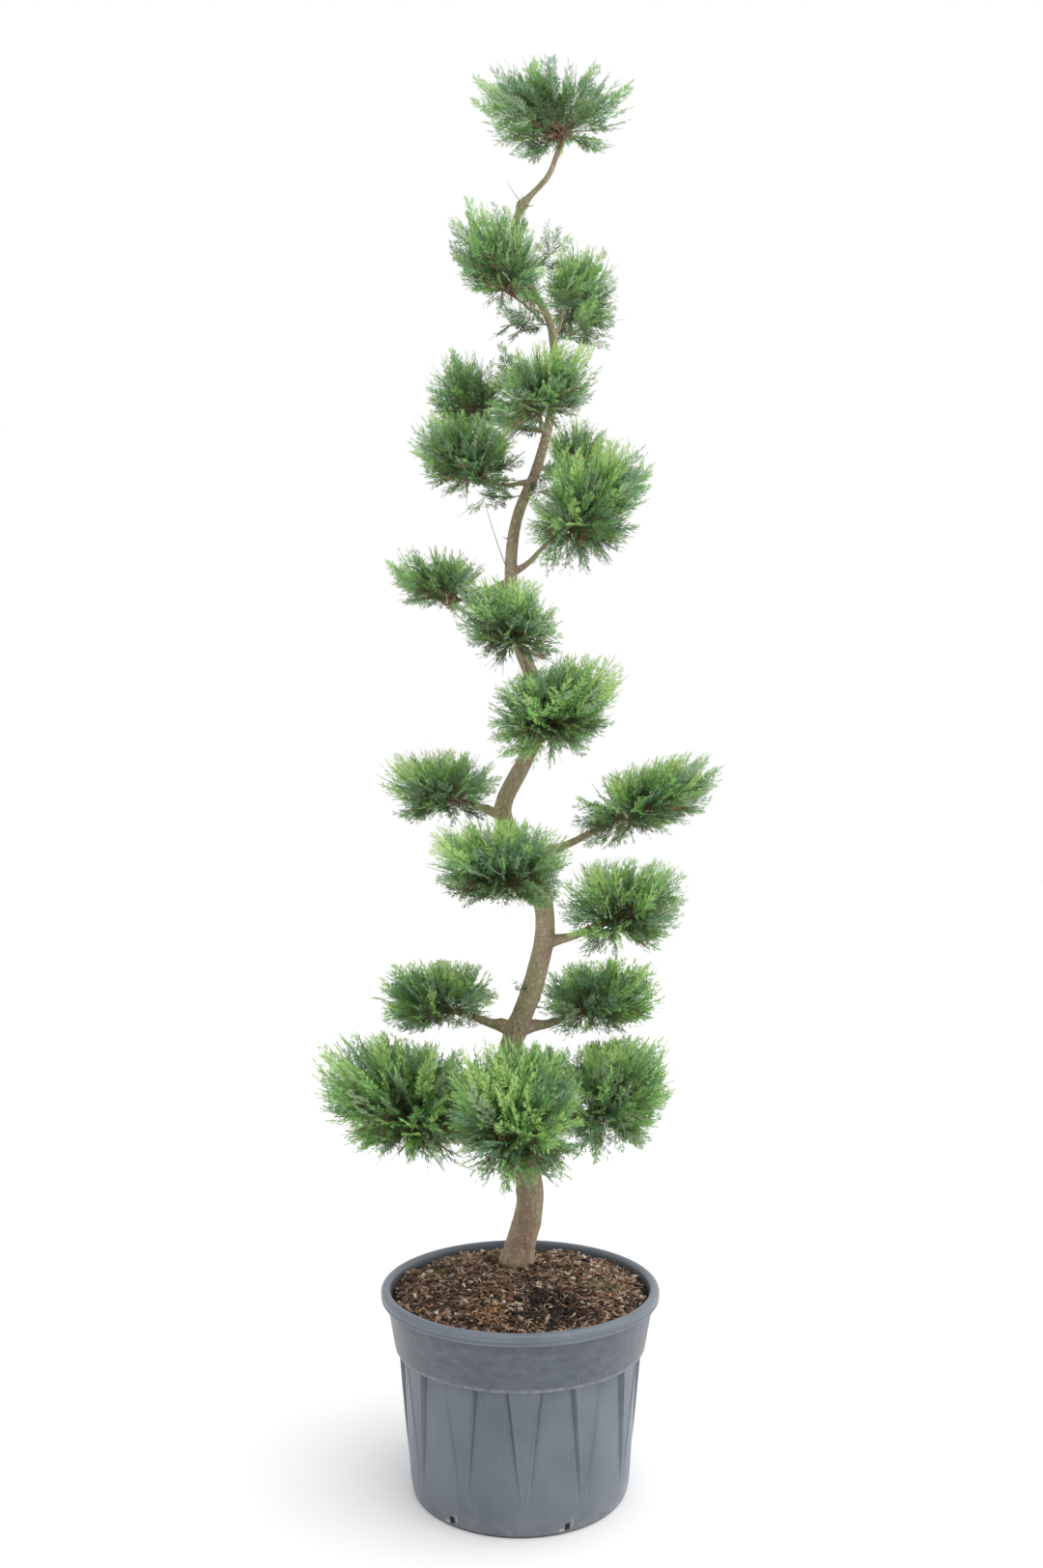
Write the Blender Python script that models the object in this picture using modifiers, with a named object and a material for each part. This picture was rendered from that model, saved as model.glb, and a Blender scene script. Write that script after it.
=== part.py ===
# Potted leyland cypress bonsai: a winding trunk, tapering boughs and clipped
# cushions of foliage, in a ribbed nursery pot filled with bark compost.
# Metres, +Z up. The origin is the middle of the pot's flat underside.
# +X is to the right of the front view, -Y is towards the viewer.

import math
import random

import bmesh
import bpy
import numpy as np
from mathutils import Matrix, Vector

# Driving dimensions
CLEARANCE = 0.0003          # gap kept between solids that touch

POT_HEIGHT = 0.450
POT_RIM_RADIUS = 0.320      # outside of the rolled lip
POT_LIP_WIDTH = 0.023
POT_LIP_DEPTH = 0.026
POT_LIP_ROUND = 0.011       # height over which the lip rounds off
POT_COLLAR_TOP_RADIUS = 0.3065
POT_COLLAR_FOOT_RADIUS = 0.2870
POT_COLLAR_FOOT = 0.321     # height of the collar's lower edge
POT_COLLAR_BEVEL = 0.003
POT_BODY_TOP_RADIUS = 0.2770
POT_BODY_FOOT_RADIUS = 0.2500
POT_BASE_RADIUS = 0.2455
POT_BASE_ROUND = 0.009
POT_WALL = 0.0045
POT_FLOOR = 0.010
RIB_COUNT = 12
RIB_DEPTH = 0.008           # how far a rib stands out of its panels at its top
RIB_FOOT = 0.032            # height at which a rib runs out
RIB_TOP_HALF_ANGLE = math.radians(7.5)
RIB_FOOT_HALF_ANGLE = math.radians(1.2)
RIB_EDGE_HALF_ANGLE = math.radians(0.55)
RIB_TURN = math.radians(2.0)    # turn of the rib that faces the viewer
POT_COLUMNS_PER_RIB = 5

SOIL_EDGE_HEIGHT = 0.424    # where the compost meets the pot
SOIL_TOP_HEIGHT = 0.4597    # flat top of the mound under the trunk
SOIL_TOP_RADIUS = 0.150
SOIL_SHOULDER = 0.62        # height of the mound halfway to the wall, as a share
SOIL_WALL_GAP = 0.0010
SOIL_COLUMNS = 32

TRUNK_FOOT = 0.460
TRUNK_TOP_RADIUS = 0.0062
TRUNK_BUTT_RADIUS = 0.0320
TRUNK_TAPER = 1.15
TRUNK_FOOT_BAND = 0.03      # the lowest ring lies within this of the foot
ROOT_FLARE = 0.0085
ROOT_FLARE_HEIGHT = 0.085
TRUNK_SIDES = 10
TRUNK_RING_SPACING = 0.075

# The trunk's bends: height, place to the right and place to the back
TRUNK_BENDS = (
    (0.46, -0.010, 0.100),
    (0.64, 0.023, 0.096),
    (0.75, -0.004, 0.098),
    (0.90, -0.041, 0.082),
    (1.01, -0.012, 0.060),
    (1.12, 0.028, 0.038),
    (1.29, 0.058, 0.012),
    (1.39, 0.038, 0.006),
    (1.54, -0.040, 0.010),
    (1.66, 0.012, 0.002),
    (1.77, 0.049, -0.018),
    (1.93, -0.002, -0.024),
    (2.08, -0.022, -0.010),
    (2.24, -0.006, 0.012),
    (2.36, 0.040, 0.028),
    (2.60, 0.082, 0.024),
    (2.70, 0.072, 0.010),
    (2.82, 0.010, -0.004),
    (2.98, 0.003, -0.006),
    (3.05, 0.066, -0.014),
    (3.11, 0.091, -0.020),
)

BOUGH_THICKNESS = 0.52      # a bough's foot radius over the trunk's there
BOUGH_TAPER = 0.60          # a bough's tip radius over its foot radius
BOUGH_SIDES = 6
BOUGH_RING_SPACING = 0.045
BOUGH_RISE = 0.22           # how steeply a bough leaves the trunk
BOUGH_FOOT_HANDLE = 0.45    # how long a bough keeps its first heading
BOUGH_TIP_HANDLE = 0.30     # how long before its tip it takes its last heading

# Each cushion of foliage: name, middle (right, back, height), half its width,
# depth and height to its furthest tips, how far it leans to the right over
# half its height, how far it rises over half its width, how much it flares
# upwards, and the height of its bough's foot on the trunk
CUSHIONS = (
    ("crown", (0.079, -0.020, 3.178), (0.186, 0.150, 0.103), -0.010, 0.000, 0.45, None),
    ("top_left", (-0.041, -0.130, 2.780), (0.124, 0.115, 0.128), -0.020, -0.040, 0.10, 2.72),
    ("top_right", (0.144, 0.120, 2.810), (0.103, 0.110, 0.132), 0.015, -0.015, 0.10, 2.68),
    ("high_front", (0.047, -0.160, 2.473), (0.135, 0.120, 0.110), 0.020, 0.020, 0.15, 2.44),
    ("high_left", (-0.127, 0.100, 2.547), (0.108, 0.110, 0.119), 0.000, -0.010, 0.15, 2.45),
    ("upper_left", (-0.124, -0.020, 2.365), (0.140, 0.120, 0.114), -0.015, -0.015, 0.15, 2.32),
    ("upper_back", (0.144, 0.190, 2.433), (0.086, 0.100, 0.107), 0.000, 0.000, 0.10, 2.36),
    ("upper_right", (0.154, -0.070, 2.234), (0.148, 0.135, 0.158), 0.030, 0.020, 0.15, 2.10),
    ("middle_left", (-0.196, 0.050, 2.085), (0.129, 0.120, 0.088), -0.010, -0.010, 0.10, 2.07),
    ("middle_front", (-0.022, -0.160, 1.947), (0.125, 0.120, 0.117), -0.030, 0.000, 0.10, 1.86),
    ("waist_front", (0.078, -0.140, 1.761), (0.157, 0.130, 0.134), 0.030, 0.015, 0.15, 1.66),
    ("waist_left", (-0.193, 0.070, 1.591), (0.152, 0.125, 0.103), -0.010, 0.000, 0.15, 1.53),
    ("waist_right", (0.298, 0.060, 1.561), (0.184, 0.135, 0.107), 0.025, 0.040, 0.10, 1.43),
    ("lower_front", (-0.041, -0.170, 1.411), (0.169, 0.130, 0.116), -0.010, -0.005, 0.15, 1.33),
    ("lower_right", (0.231, -0.090, 1.314), (0.151, 0.130, 0.125), 0.005, 0.005, 0.15, 1.23),
    ("low_left", (-0.202, 0.100, 1.085), (0.157, 0.140, 0.103), -0.010, 0.000, 0.15, 1.02),
    ("low_right", (0.193, 0.120, 1.083), (0.165, 0.140, 0.108), 0.010, 0.005, 0.15, 1.02),
    ("bottom_left", (-0.270, -0.030, 0.868), (0.210, 0.165, 0.162), -0.035, -0.020, 0.15, 0.78),
    ("bottom_front", (-0.011, -0.170, 0.867), (0.165, 0.140, 0.182), 0.000, -0.020, 0.05, 0.70),
    ("bottom_right", (0.215, 0.070, 0.864), (0.153, 0.150, 0.162), 0.025, 0.010, 0.15, 0.75),
    ("bottom_back", (0.049, 0.330, 0.841), (0.129, 0.135, 0.111), 0.000, 0.000, 0.15, 0.80),
    ("lower_back", (-0.017, 0.200, 1.392), (0.125, 0.125, 0.102), 0.000, 0.000, 0.15, 1.31),
    ("waist_back", (0.100, 0.210, 1.790), (0.118, 0.125, 0.114), 0.000, 0.000, 0.15, 1.71),
)

ROUNDNESS = 2.6             # 2 is an ellipsoid, more is a fuller cushion
BOUGH_TIP_REACH = 0.72      # where a bough ends, as a share of the cushion
INLET_DROP = -0.60          # a bough comes in from below its cushion's middle
CROWN_STEM_LENGTH = 0.060   # from the trunk's tip into the crown
STEM_TAPER = 0.8
CORE_SIZE = 0.66            # the dense middle, as a share of the cushion
CORE_ROUGHNESS = 0.10
CORE_MARGIN = 0.12          # share of the cushion kept free outside the core
CORE_STEP = 0.05            # share by which a corner of the core is drawn in
FORK_REACH = 0.18           # where the stem forks, as a share of the cushion
SPACE_MARGIN = 0.04         # kept to the next cushion's space
LIMB_MARGIN = 0.006         # kept between foliage and any limb
LIMB_STEP = 0.006           # spacing of the points that stand for a limb
TWIG_SHARE = 0.52           # how far out a leafy twig ends, in the core
BARE_TWIG_SHARE = 0.86      # how far out a bare twig under the cushion ends
BARE_TWIG_EVERY = 4
TWIG_RADIUS = 0.0042
TWIG_TIP = 0.5              # a twig's tip radius over its foot radius
TWIG_TEST_POINTS = 6
SPRAYS_PER_ROOT_VOLUME = 385
LOWEST_RISE = -0.85         # the lowest twig's heading, 1 is straight up
SPRAY_LIFT = 0.20           # how far a spray turns up from its twig
SPRAY_WIDTH = 0.55          # a spray's width over its length
SPRAY_THICKNESS = 0.0055
SPRAY_RIDGE = 0.42          # how far along a spray its ridge is highest
SPRAY_ROLL = 1.2            # most that a spray is rolled about its midrib
SPRAY_TURN = 0.16           # how much further each try may turn a spray
SPRAY_SHRINK = 0.05         # how much shorter each try makes it
TIP_REACH = 0.995           # where tips end, as a share of the cushion
SPRAY_ROOT_DEPTH = 0.014    # how deep a spray's root is sunk
SHORTEST_SPRAY = 0.050
TIP_SPACING = 0.034         # kept between the tips of two sprays
SPRAY_TRIES = 6
GOLDEN_ANGLE = math.radians(137.508)
SEED = 29

POT_COLOUR = (0.130, 0.155, 0.185, 1.0)
SOIL_COLOUR = (0.075, 0.042, 0.025, 1.0)
BARK_COLOUR = (0.190, 0.145, 0.100, 1.0)
FOLIAGE_COLOUR = (0.060, 0.170, 0.065, 1.0)


def clear_scene():
    for item in list(bpy.data.objects):
        bpy.data.objects.remove(item)


def new_collection(name):
    collection = bpy.data.collections.new(name)
    bpy.context.scene.collection.children.link(collection)
    return collection


def new_material(name, colour, roughness):
    material = bpy.data.materials.new(name)
    material.use_nodes = True
    shader = material.node_tree.nodes["Principled BSDF"]
    shader.inputs["Base Color"].default_value = colour
    shader.inputs["Roughness"].default_value = roughness
    shader.inputs["Metallic"].default_value = 0.0
    return material


def mesh_object(name, bm, collection, material):
    mesh = bpy.data.meshes.new(name)
    bm.to_mesh(mesh)
    bm.free()
    item = bpy.data.objects.new(name, mesh)
    collection.objects.link(item)
    if material is not None:
        mesh.materials.append(material)
    return item


# The pot

def pot_profile():
    """Radius, height and row kind, from the middle of the underside, up the
    outside, over the lip and down the plain inner wall to the inner floor."""
    inner_lip = POT_RIM_RADIUS - POT_LIP_WIDTH
    lip_foot = POT_HEIGHT - POT_LIP_DEPTH
    return (
        (POT_BASE_RADIUS - POT_BASE_ROUND, 0.0, "plain"),
        (POT_BASE_RADIUS, POT_BASE_ROUND, "plain"),
        (POT_BODY_FOOT_RADIUS, RIB_FOOT, "rib foot"),
        (POT_BODY_TOP_RADIUS, POT_COLLAR_FOOT - 2 * POT_COLLAR_BEVEL, "rib top"),
        (POT_COLLAR_FOOT_RADIUS - POT_COLLAR_BEVEL, POT_COLLAR_FOOT - POT_COLLAR_BEVEL,
         "plain"),
        (POT_COLLAR_FOOT_RADIUS, POT_COLLAR_FOOT, "plain"),
        (POT_COLLAR_TOP_RADIUS, lip_foot - POT_COLLAR_BEVEL, "plain"),
        (POT_RIM_RADIUS - 0.1 * POT_LIP_WIDTH, lip_foot, "plain"),
        (POT_RIM_RADIUS, POT_HEIGHT - POT_LIP_ROUND, "plain"),
        (POT_RIM_RADIUS - 0.3 * POT_LIP_WIDTH, POT_HEIGHT - 0.1 * POT_LIP_ROUND, "plain"),
        (POT_RIM_RADIUS - 0.6 * POT_LIP_WIDTH, POT_HEIGHT, "plain"),
        (inner_lip, POT_HEIGHT - POT_LIP_ROUND, "plain"),
        (inner_wall_radius(POT_COLLAR_FOOT), POT_COLLAR_FOOT, "plain"),
        (inner_wall_radius(POT_FLOOR), POT_FLOOR, "plain"),
    )


def inner_wall_radius(height):
    """The inner wall in two straight runs, behind the body and the collar."""
    body_top = POT_BODY_TOP_RADIUS - RIB_DEPTH - POT_WALL
    body_foot = POT_BASE_RADIUS - POT_WALL
    lip = POT_RIM_RADIUS - POT_LIP_WIDTH
    heights = (POT_FLOOR, POT_COLLAR_FOOT, POT_HEIGHT - POT_LIP_ROUND)
    return float(np.interp(height, heights, (body_foot, body_top, lip)))


def rib_column(column, kind):
    """Angle and inset of a pot column: it follows the ribs' slanting edges on
    the body's rows and is evenly spaced on the plain ones."""
    step = 2 * math.pi / (RIB_COUNT * POT_COLUMNS_PER_RIB)
    rib, place = divmod(column, POT_COLUMNS_PER_RIB)
    middle = rib * 2 * math.pi / RIB_COUNT + RIB_TURN - math.pi / 2
    if kind == "plain":
        return middle + (place - 1.5) * step, 0.0
    at_top = kind == "rib top"
    half = RIB_TOP_HALF_ANGLE if at_top else RIB_FOOT_HALF_ANGLE
    depth = RIB_DEPTH if at_top else 0.0
    offsets = (
        (-half - RIB_EDGE_HALF_ANGLE, depth),
        (-half + RIB_EDGE_HALF_ANGLE, 0.0),
        (half - RIB_EDGE_HALF_ANGLE, 0.0),
        (half + RIB_EDGE_HALF_ANGLE, depth),
        (math.pi / RIB_COUNT, depth),
    )
    angle, inset = offsets[place]
    return middle + angle, inset


def make_pot(collection, material):
    profile = pot_profile()
    columns = RIB_COUNT * POT_COLUMNS_PER_RIB
    bm = bmesh.new()
    row_verts = [bm.verts.new((radius, 0.0, height)) for radius, height, _ in profile]
    edges = [bm.edges.new(pair) for pair in zip(row_verts, row_verts[1:])]
    bmesh.ops.spin(
        bm, geom=row_verts + edges, cent=(0, 0, 0), axis=(0, 0, 1),
        angle=2 * math.pi, steps=columns, use_merge=True,
    )
    bmesh.ops.remove_doubles(bm, verts=bm.verts, dist=1e-6)
    step = 2 * math.pi / columns
    for vert in bm.verts:
        radius = math.hypot(vert.co.x, vert.co.y)
        column = round(math.atan2(vert.co.y, vert.co.x) / step) % columns
        kind = next(k for r, h, k in profile
                    if abs(r - radius) < 1e-5 and abs(h - vert.co.z) < 1e-5)
        angle, inset = rib_column(column, kind)
        out = radius - inset
        vert.co.x = out * math.cos(angle)
        vert.co.y = out * math.sin(angle)
    open_edges = [edge for edge in bm.edges if edge.is_boundary]
    bmesh.ops.holes_fill(bm, edges=open_edges, sides=0)
    bmesh.ops.recalc_face_normals(bm, faces=bm.faces)
    pot = mesh_object("pot", bm, collection, material)
    pot.data.shade_smooth()
    pot.data.set_sharp_from_angle(angle=math.radians(35))
    return pot


# The compost

def make_soil(collection, material):
    """A turned plug, clear of the pot, mounded to a flat top for the trunk."""
    foot_height = POT_FLOOR + CLEARANCE
    edge_radius = inner_wall_radius(SOIL_EDGE_HEIGHT) - SOIL_WALL_GAP
    shoulder = SOIL_EDGE_HEIGHT + SOIL_SHOULDER * (SOIL_TOP_HEIGHT - SOIL_EDGE_HEIGHT)
    profile = (
        (0.0, SOIL_TOP_HEIGHT),
        (SOIL_TOP_RADIUS, SOIL_TOP_HEIGHT),
        (0.5 * (SOIL_TOP_RADIUS + edge_radius), shoulder),
        (edge_radius, SOIL_EDGE_HEIGHT),
        (inner_wall_radius(POT_COLLAR_FOOT) - SOIL_WALL_GAP, POT_COLLAR_FOOT),
        (inner_wall_radius(foot_height) - SOIL_WALL_GAP, foot_height),
        (0.0, foot_height),
    )
    bm = bmesh.new()
    verts = [bm.verts.new((radius, 0.0, height)) for radius, height in profile]
    for pair in zip(verts, verts[1:]):
        bm.edges.new(pair)
    soil = mesh_object("compost", bm, collection, material)
    screw = soil.modifiers.new("turn", "SCREW")
    screw.steps = SOIL_COLUMNS
    screw.render_steps = SOIL_COLUMNS
    screw.use_merge_vertices = True
    screw.merge_threshold = 0.0001
    screw.use_normal_calculate = True
    return soil


# Limbs

def smooth_route(height, column):
    """A cubic through the trunk's bends, read at a height."""
    heights = np.array([bend[0] for bend in TRUNK_BENDS])
    places = np.array([bend[column] for bend in TRUNK_BENDS])
    slopes = np.gradient(places, heights)
    index = int(np.clip(np.searchsorted(heights, height) - 1, 0, len(heights) - 2))
    span = heights[index + 1] - heights[index]
    t = (height - heights[index]) / span
    return float(
        (2 * t**3 - 3 * t**2 + 1) * places[index]
        + (t**3 - 2 * t**2 + t) * span * slopes[index]
        + (3 * t**2 - 2 * t**3) * places[index + 1]
        + (t**3 - t**2) * span * slopes[index + 1]
    )


def trunk_point(height):
    return Vector((smooth_route(height, 1), smooth_route(height, 2), height))


def trunk_radius(height):
    top = TRUNK_BENDS[-1][0]
    share = (top - height) / (top - TRUNK_FOOT)
    flare = ROOT_FLARE * math.exp(-(height - TRUNK_FOOT) / ROOT_FLARE_HEIGHT)
    swell = (TRUNK_BUTT_RADIUS - TRUNK_TOP_RADIUS) * share**TRUNK_TAPER
    return TRUNK_TOP_RADIUS + swell + flare


def trunk_route():
    """A ring at each bend, and one between bends that lie far apart."""
    heights = [TRUNK_FOOT]
    for low, high in zip(TRUNK_BENDS, TRUNK_BENDS[1:]):
        if high[0] - low[0] > TRUNK_RING_SPACING:
            heights.append(0.5 * (low[0] + high[0]))
        heights.append(high[0])
    return [(trunk_point(height), trunk_radius(height)) for height in heights]


def limb_mesh(name, route, sides, collection, material):
    """A tapering limb: a poly curve with a radius at each point, made a mesh
    with its caps welded."""
    curve = bpy.data.curves.new(name + "_curve", "CURVE")
    curve.dimensions = "3D"
    curve.bevel_depth = 1.0
    curve.bevel_resolution = (sides - 4) // 2
    curve.use_fill_caps = True
    spline = curve.splines.new("POLY")
    spline.points.add(len(route) - 1)
    for point, (place, radius) in zip(spline.points, route):
        point.co = (*place, 1.0)
        point.radius = radius
    guide = bpy.data.objects.new(name + "_curve", curve)
    collection.objects.link(guide)
    evaluated = guide.evaluated_get(bpy.context.evaluated_depsgraph_get())
    mesh = bpy.data.meshes.new_from_object(evaluated)
    bm = bmesh.new()
    bm.from_mesh(mesh)
    bpy.data.meshes.remove(mesh)
    bmesh.ops.remove_doubles(bm, verts=bm.verts, dist=1e-5)
    limb = mesh_object(name, bm, collection, material)
    limb.matrix_world = guide.matrix_world
    bpy.data.objects.remove(guide)
    limb.data.shade_smooth()
    return limb


def flatten_foot(limb, height):
    """Slides the lowest ring onto a level plane, for a flat cut."""
    foot = [vert for vert in limb.data.vertices if vert.co.z < height + TRUNK_FOOT_BAND]
    for vert in foot:
        vert.co.z = height


def make_trunk(collection, material):
    trunk = limb_mesh("trunk", trunk_route(), TRUNK_SIDES, collection, material)
    flatten_foot(trunk, TRUNK_FOOT)
    return trunk


def make_trunk_cutter(collection):
    swollen = [(place, radius + CLEARANCE) for place, radius in trunk_route()]
    cutter = limb_mesh("trunk_cutter", swollen, TRUNK_SIDES, collection, None)
    flatten_foot(cutter, TRUNK_FOOT)
    cutter.hide_render = True
    cutter.display_type = "WIRE"
    return cutter


# Cushions of foliage

class Cushion:
    """The space of one cushion and the way its bough comes in."""

    def __init__(self, name, middle, half, lean, tilt, flare, bough_height):
        self.name = name
        self.middle = Vector(middle)
        self.half = Vector(half)
        self.lean = lean
        self.tilt = tilt
        self.flare = flare
        self.bough_height = bough_height
        self.tips = []
        self.stem_length = CROWN_STEM_LENGTH
        self.route = trunk_route() if bough_height is None else self.bough_route()
        self.tip = self.route[-1][0]
        self.inward = (self.tip - self.route[-2][0]).normalized()
        self.fork = self.tip + self.inward * self.stem_length

    def bough_route(self):
        """A bough bends out of the trunk and turns up into its cushion."""
        start = trunk_point(self.bough_height)
        inlet = self.share(start)
        inlet.z = 0.0
        inlet = (inlet.normalized() + Vector((0, 0, INLET_DROP))).normalized()
        tip = self.place(inlet * BOUGH_TIP_REACH)
        stem = self.place(inlet * FORK_REACH) - tip
        self.stem_length = stem.length
        inward = stem.normalized()
        away = tip - start
        span = away.length
        away.z = 0.0
        away = (away.normalized() + Vector((0, 0, BOUGH_RISE))).normalized()
        handle_a = start + away * span * BOUGH_FOOT_HANDLE
        handle_b = tip - inward * span * BOUGH_TIP_HANDLE
        foot_radius = BOUGH_THICKNESS * trunk_radius(self.bough_height)
        pieces = max(2, round(span / BOUGH_RING_SPACING))
        route = []
        for i in range(pieces + 1):
            t = i / pieces
            place = (
                start * (1 - t) ** 3
                + handle_a * 3 * t * (1 - t) ** 2
                + handle_b * 3 * t**2 * (1 - t)
                + tip * t**3
            )
            route.append((place, foot_radius * (1 - (1 - BOUGH_TAPER) * t)))
        return route

    def share(self, point):
        """A point as shares of the leaning, tilted, flaring half sizes."""
        offset = point - self.middle
        up = (offset.z - self.tilt * offset.x / self.half.x) / self.half.z
        wide = 1 + self.flare * max(-1.0, min(1.0, up))
        right = (offset.x - self.lean * up) / (self.half.x * wide)
        return Vector((right, offset.y / (self.half.y * wide), up))

    def place(self, share):
        wide = 1 + self.flare * max(-1.0, min(1.0, share.z))
        right = share.x * self.half.x * wide + self.lean * share.z
        up = share.z * self.half.z + self.tilt * right / self.half.x
        return self.middle + Vector((right, share.y * self.half.y * wide, up))

    def fullness(self, point):
        """How far out a point lies: 1 at the furthest tips."""
        share = self.share(point)
        return sum(abs(value) ** ROUNDNESS for value in share) ** (1 / ROUNDNESS)


class Space:
    """Tells which points a cushion may fill."""

    def __init__(self, cushions):
        self.cushions = cushions
        places = []
        radii = []
        routes = [trunk_route()] + [c.route for c in cushions if c.bough_height]
        for route in routes:
            for (start, start_radius), (end, end_radius) in zip(route, route[1:]):
                steps = max(2, math.ceil((end - start).length / LIMB_STEP))
                for i in range(steps + 1):
                    t = i / steps
                    places.append(start.lerp(end, t))
                    radii.append(start_radius + (end_radius - start_radius) * t)
        self.limb_places = np.array(places)
        self.limb_radii = np.array(radii)

    def limb_gap(self, point):
        away = np.linalg.norm(self.limb_places - np.array(point), axis=1)
        return float((away - self.limb_radii).min())

    def allows(self, cushion, point):
        own = cushion.fullness(point)
        if own > 1.0:
            return False
        for other in self.cushions:
            if other is not cushion and other.fullness(point) < own + SPACE_MARGIN:
                return False
        return self.limb_gap(point) > LIMB_MARGIN


def along(start, direction, roll):
    """A frame whose X axis is the direction, turned about it by roll."""
    turn = direction.to_track_quat("X", "Z").to_matrix().to_4x4()
    return Matrix.Translation(start) @ turn @ Matrix.Rotation(roll, 4, "X")


def make_twig(name, start, end, thick, thin, collection):
    """A three-sided tapering twig."""
    length = (end - start).length
    lie_along_x = Matrix.Rotation(math.pi / 2, 4, "Y")
    bm = bmesh.new()
    bmesh.ops.create_cone(
        bm, cap_ends=True, segments=3, radius1=thick, radius2=thin, depth=length,
        matrix=lie_along_x @ Matrix.Translation((0, 0, length / 2)),
    )
    twig = mesh_object(name, bm, collection, None)
    twig.matrix_world = along(start, (end - start).normalized(), 0.0)
    return twig


def spray_outline():
    """Share of the length and share of the half width at the six corners of a
    spray: root, tooth, notch, tip, notch, tooth."""
    return ((0.0, 0.0), (0.62, 1.0), (0.60, 0.34), (1.0, 0.0), (0.60, -0.34), (0.62, -1.0))


def make_spray(name, frame, length, collection):
    """A flat toothed blade with a ridge in the middle of each side, shaped
    from a six-sided double cone."""
    half_width = 0.5 * SPRAY_WIDTH * length
    bm = bmesh.new()
    bmesh.ops.create_uvsphere(bm, u_segments=6, v_segments=2, radius=1.0)
    for vert in bm.verts:
        if abs(vert.co.z) > 0.5:
            side = math.copysign(0.5 * SPRAY_THICKNESS, vert.co.z)
            vert.co = Vector((SPRAY_RIDGE * length, 0.0, side))
            continue
        corner = round(math.atan2(vert.co.y, vert.co.x) / math.radians(60)) % 6
        out, across = spray_outline()[(3 - corner) % 6]
        vert.co = Vector((out * length, across * half_width, 0.0))
    bmesh.ops.recalc_face_normals(bm, faces=bm.faces)
    spray = mesh_object(name, bm, collection, None)
    spray.matrix_world = frame
    return spray


def spray_points(frame, length):
    """Points to test on a spray's outline and midrib, past its sunk root."""
    half_width = 0.5 * SPRAY_WIDTH * length
    corners = [Vector((out * length, across * half_width, 0.0))
               for out, across in spray_outline()]
    points = corners[1:]
    points += [a.lerp(b, 0.5) for a, b in zip(corners, corners[1:] + corners[:1])]
    points.append(Vector((SPRAY_RIDGE * length, 0.0, 0.0)))
    return [frame @ point for point in points]


def reach_length(cushion, start, direction):
    """How far a ray from start runs before it leaves the cushion."""
    near, far = 0.0, 2 * max(cushion.half)
    for _ in range(20):
        middle = 0.5 * (near + far)
        if cushion.fullness(start + direction * middle) < TIP_REACH:
            near = middle
        else:
            far = middle
    return near


def grow_spray(cushion, space, rng, start, direction, name, collection):
    """Fuses on a spray that runs to the cushion's edge, or a turned or shorter
    one where that would leave the space or crowd another's tip; none where no
    try fits."""
    for attempt in range(SPRAY_TRIES):
        jitter = Vector((rng.uniform(-1, 1), rng.uniform(-1, 1), rng.uniform(-1, 1)))
        aim = (direction + jitter * SPRAY_TURN * attempt).normalized()
        root = start - aim * SPRAY_ROOT_DEPTH
        length = reach_length(cushion, root, aim) * (1 - SPRAY_SHRINK * attempt)
        frame = along(root, aim, rng.uniform(-SPRAY_ROLL, SPRAY_ROLL))
        tip = root + aim * length
        crowded = any((tip - other).length < TIP_SPACING for other in cushion.tips)
        fits = all(space.allows(cushion, point) for point in spray_points(frame, length))
        if length > SHORTEST_SPRAY and fits and not crowded:
            make_spray(name, frame, length, collection)
            cushion.tips.append(tip)
            return


def twig_clear(cushion, space, start, end):
    shares = np.linspace(0.3, 1.0, TWIG_TEST_POINTS)
    return all(space.allows(cushion, start.lerp(end, share)) for share in shares)


def make_core(cushion, space, rng, collection):
    """The dense middle: a rough ellipsoid drawn in where a limb is near."""
    bm = bmesh.new()
    bmesh.ops.create_icosphere(bm, subdivisions=1, radius=1.0)
    for vert in bm.verts:
        size = CORE_SIZE * (1 + rng.uniform(-CORE_ROUGHNESS, CORE_ROUGHNESS))
        while not space.allows(cushion, cushion.place(vert.co * (size + CORE_MARGIN))):
            size -= CORE_STEP
        vert.co = cushion.place(vert.co * size)
    return mesh_object(cushion.name + "_core", bm, collection, None)


def grow_cushion(cushion, space, rng, collection, material):
    """Stem, core and, by the golden angle, twigs with a spray on each, joined
    by one union."""
    sprigs = new_collection(cushion.name + "_sprigs")
    stem_radius = cushion.route[-1][1]
    stem_start = cushion.tip + cushion.inward * CLEARANCE
    stem = make_twig(
        "foliage_" + cushion.name, stem_start, cushion.fork, stem_radius,
        STEM_TAPER * stem_radius, collection,
    )
    stem.data.materials.append(material)
    make_core(cushion, space, rng, sprigs)
    volume = cushion.half.x * cushion.half.y * cushion.half.z
    count = round(SPRAYS_PER_ROOT_VOLUME * math.sqrt(volume))
    turn = rng.uniform(0, 2 * math.pi)
    for i in range(count):
        rise = LOWEST_RISE + (1 - LOWEST_RISE) * (i + 0.5) / count
        level = math.sqrt(max(0.0, 1 - rise**2))
        angle = turn + i * GOLDEN_ANGLE
        heading = Vector((level * math.cos(angle), level * math.sin(angle), rise))
        bare = rise < 0 and i % BARE_TWIG_EVERY == 0
        start = cushion.place(heading * FORK_REACH)
        end = cushion.place(heading * (BARE_TWIG_SHARE if bare else TWIG_SHARE))
        if not twig_clear(cushion, space, start, end):
            continue
        name = f"{cushion.name}_{i}"
        make_twig(name + "_twig", start, end, TWIG_RADIUS, TWIG_TIP * TWIG_RADIUS, sprigs)
        if not bare:
            aim = (end - cushion.middle).normalized() + Vector((0, 0, SPRAY_LIFT))
            grow_spray(cushion, space, rng, end, aim.normalized(), name + "_spray", sprigs)
    join_sprigs(stem, sprigs)
    return stem


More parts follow.
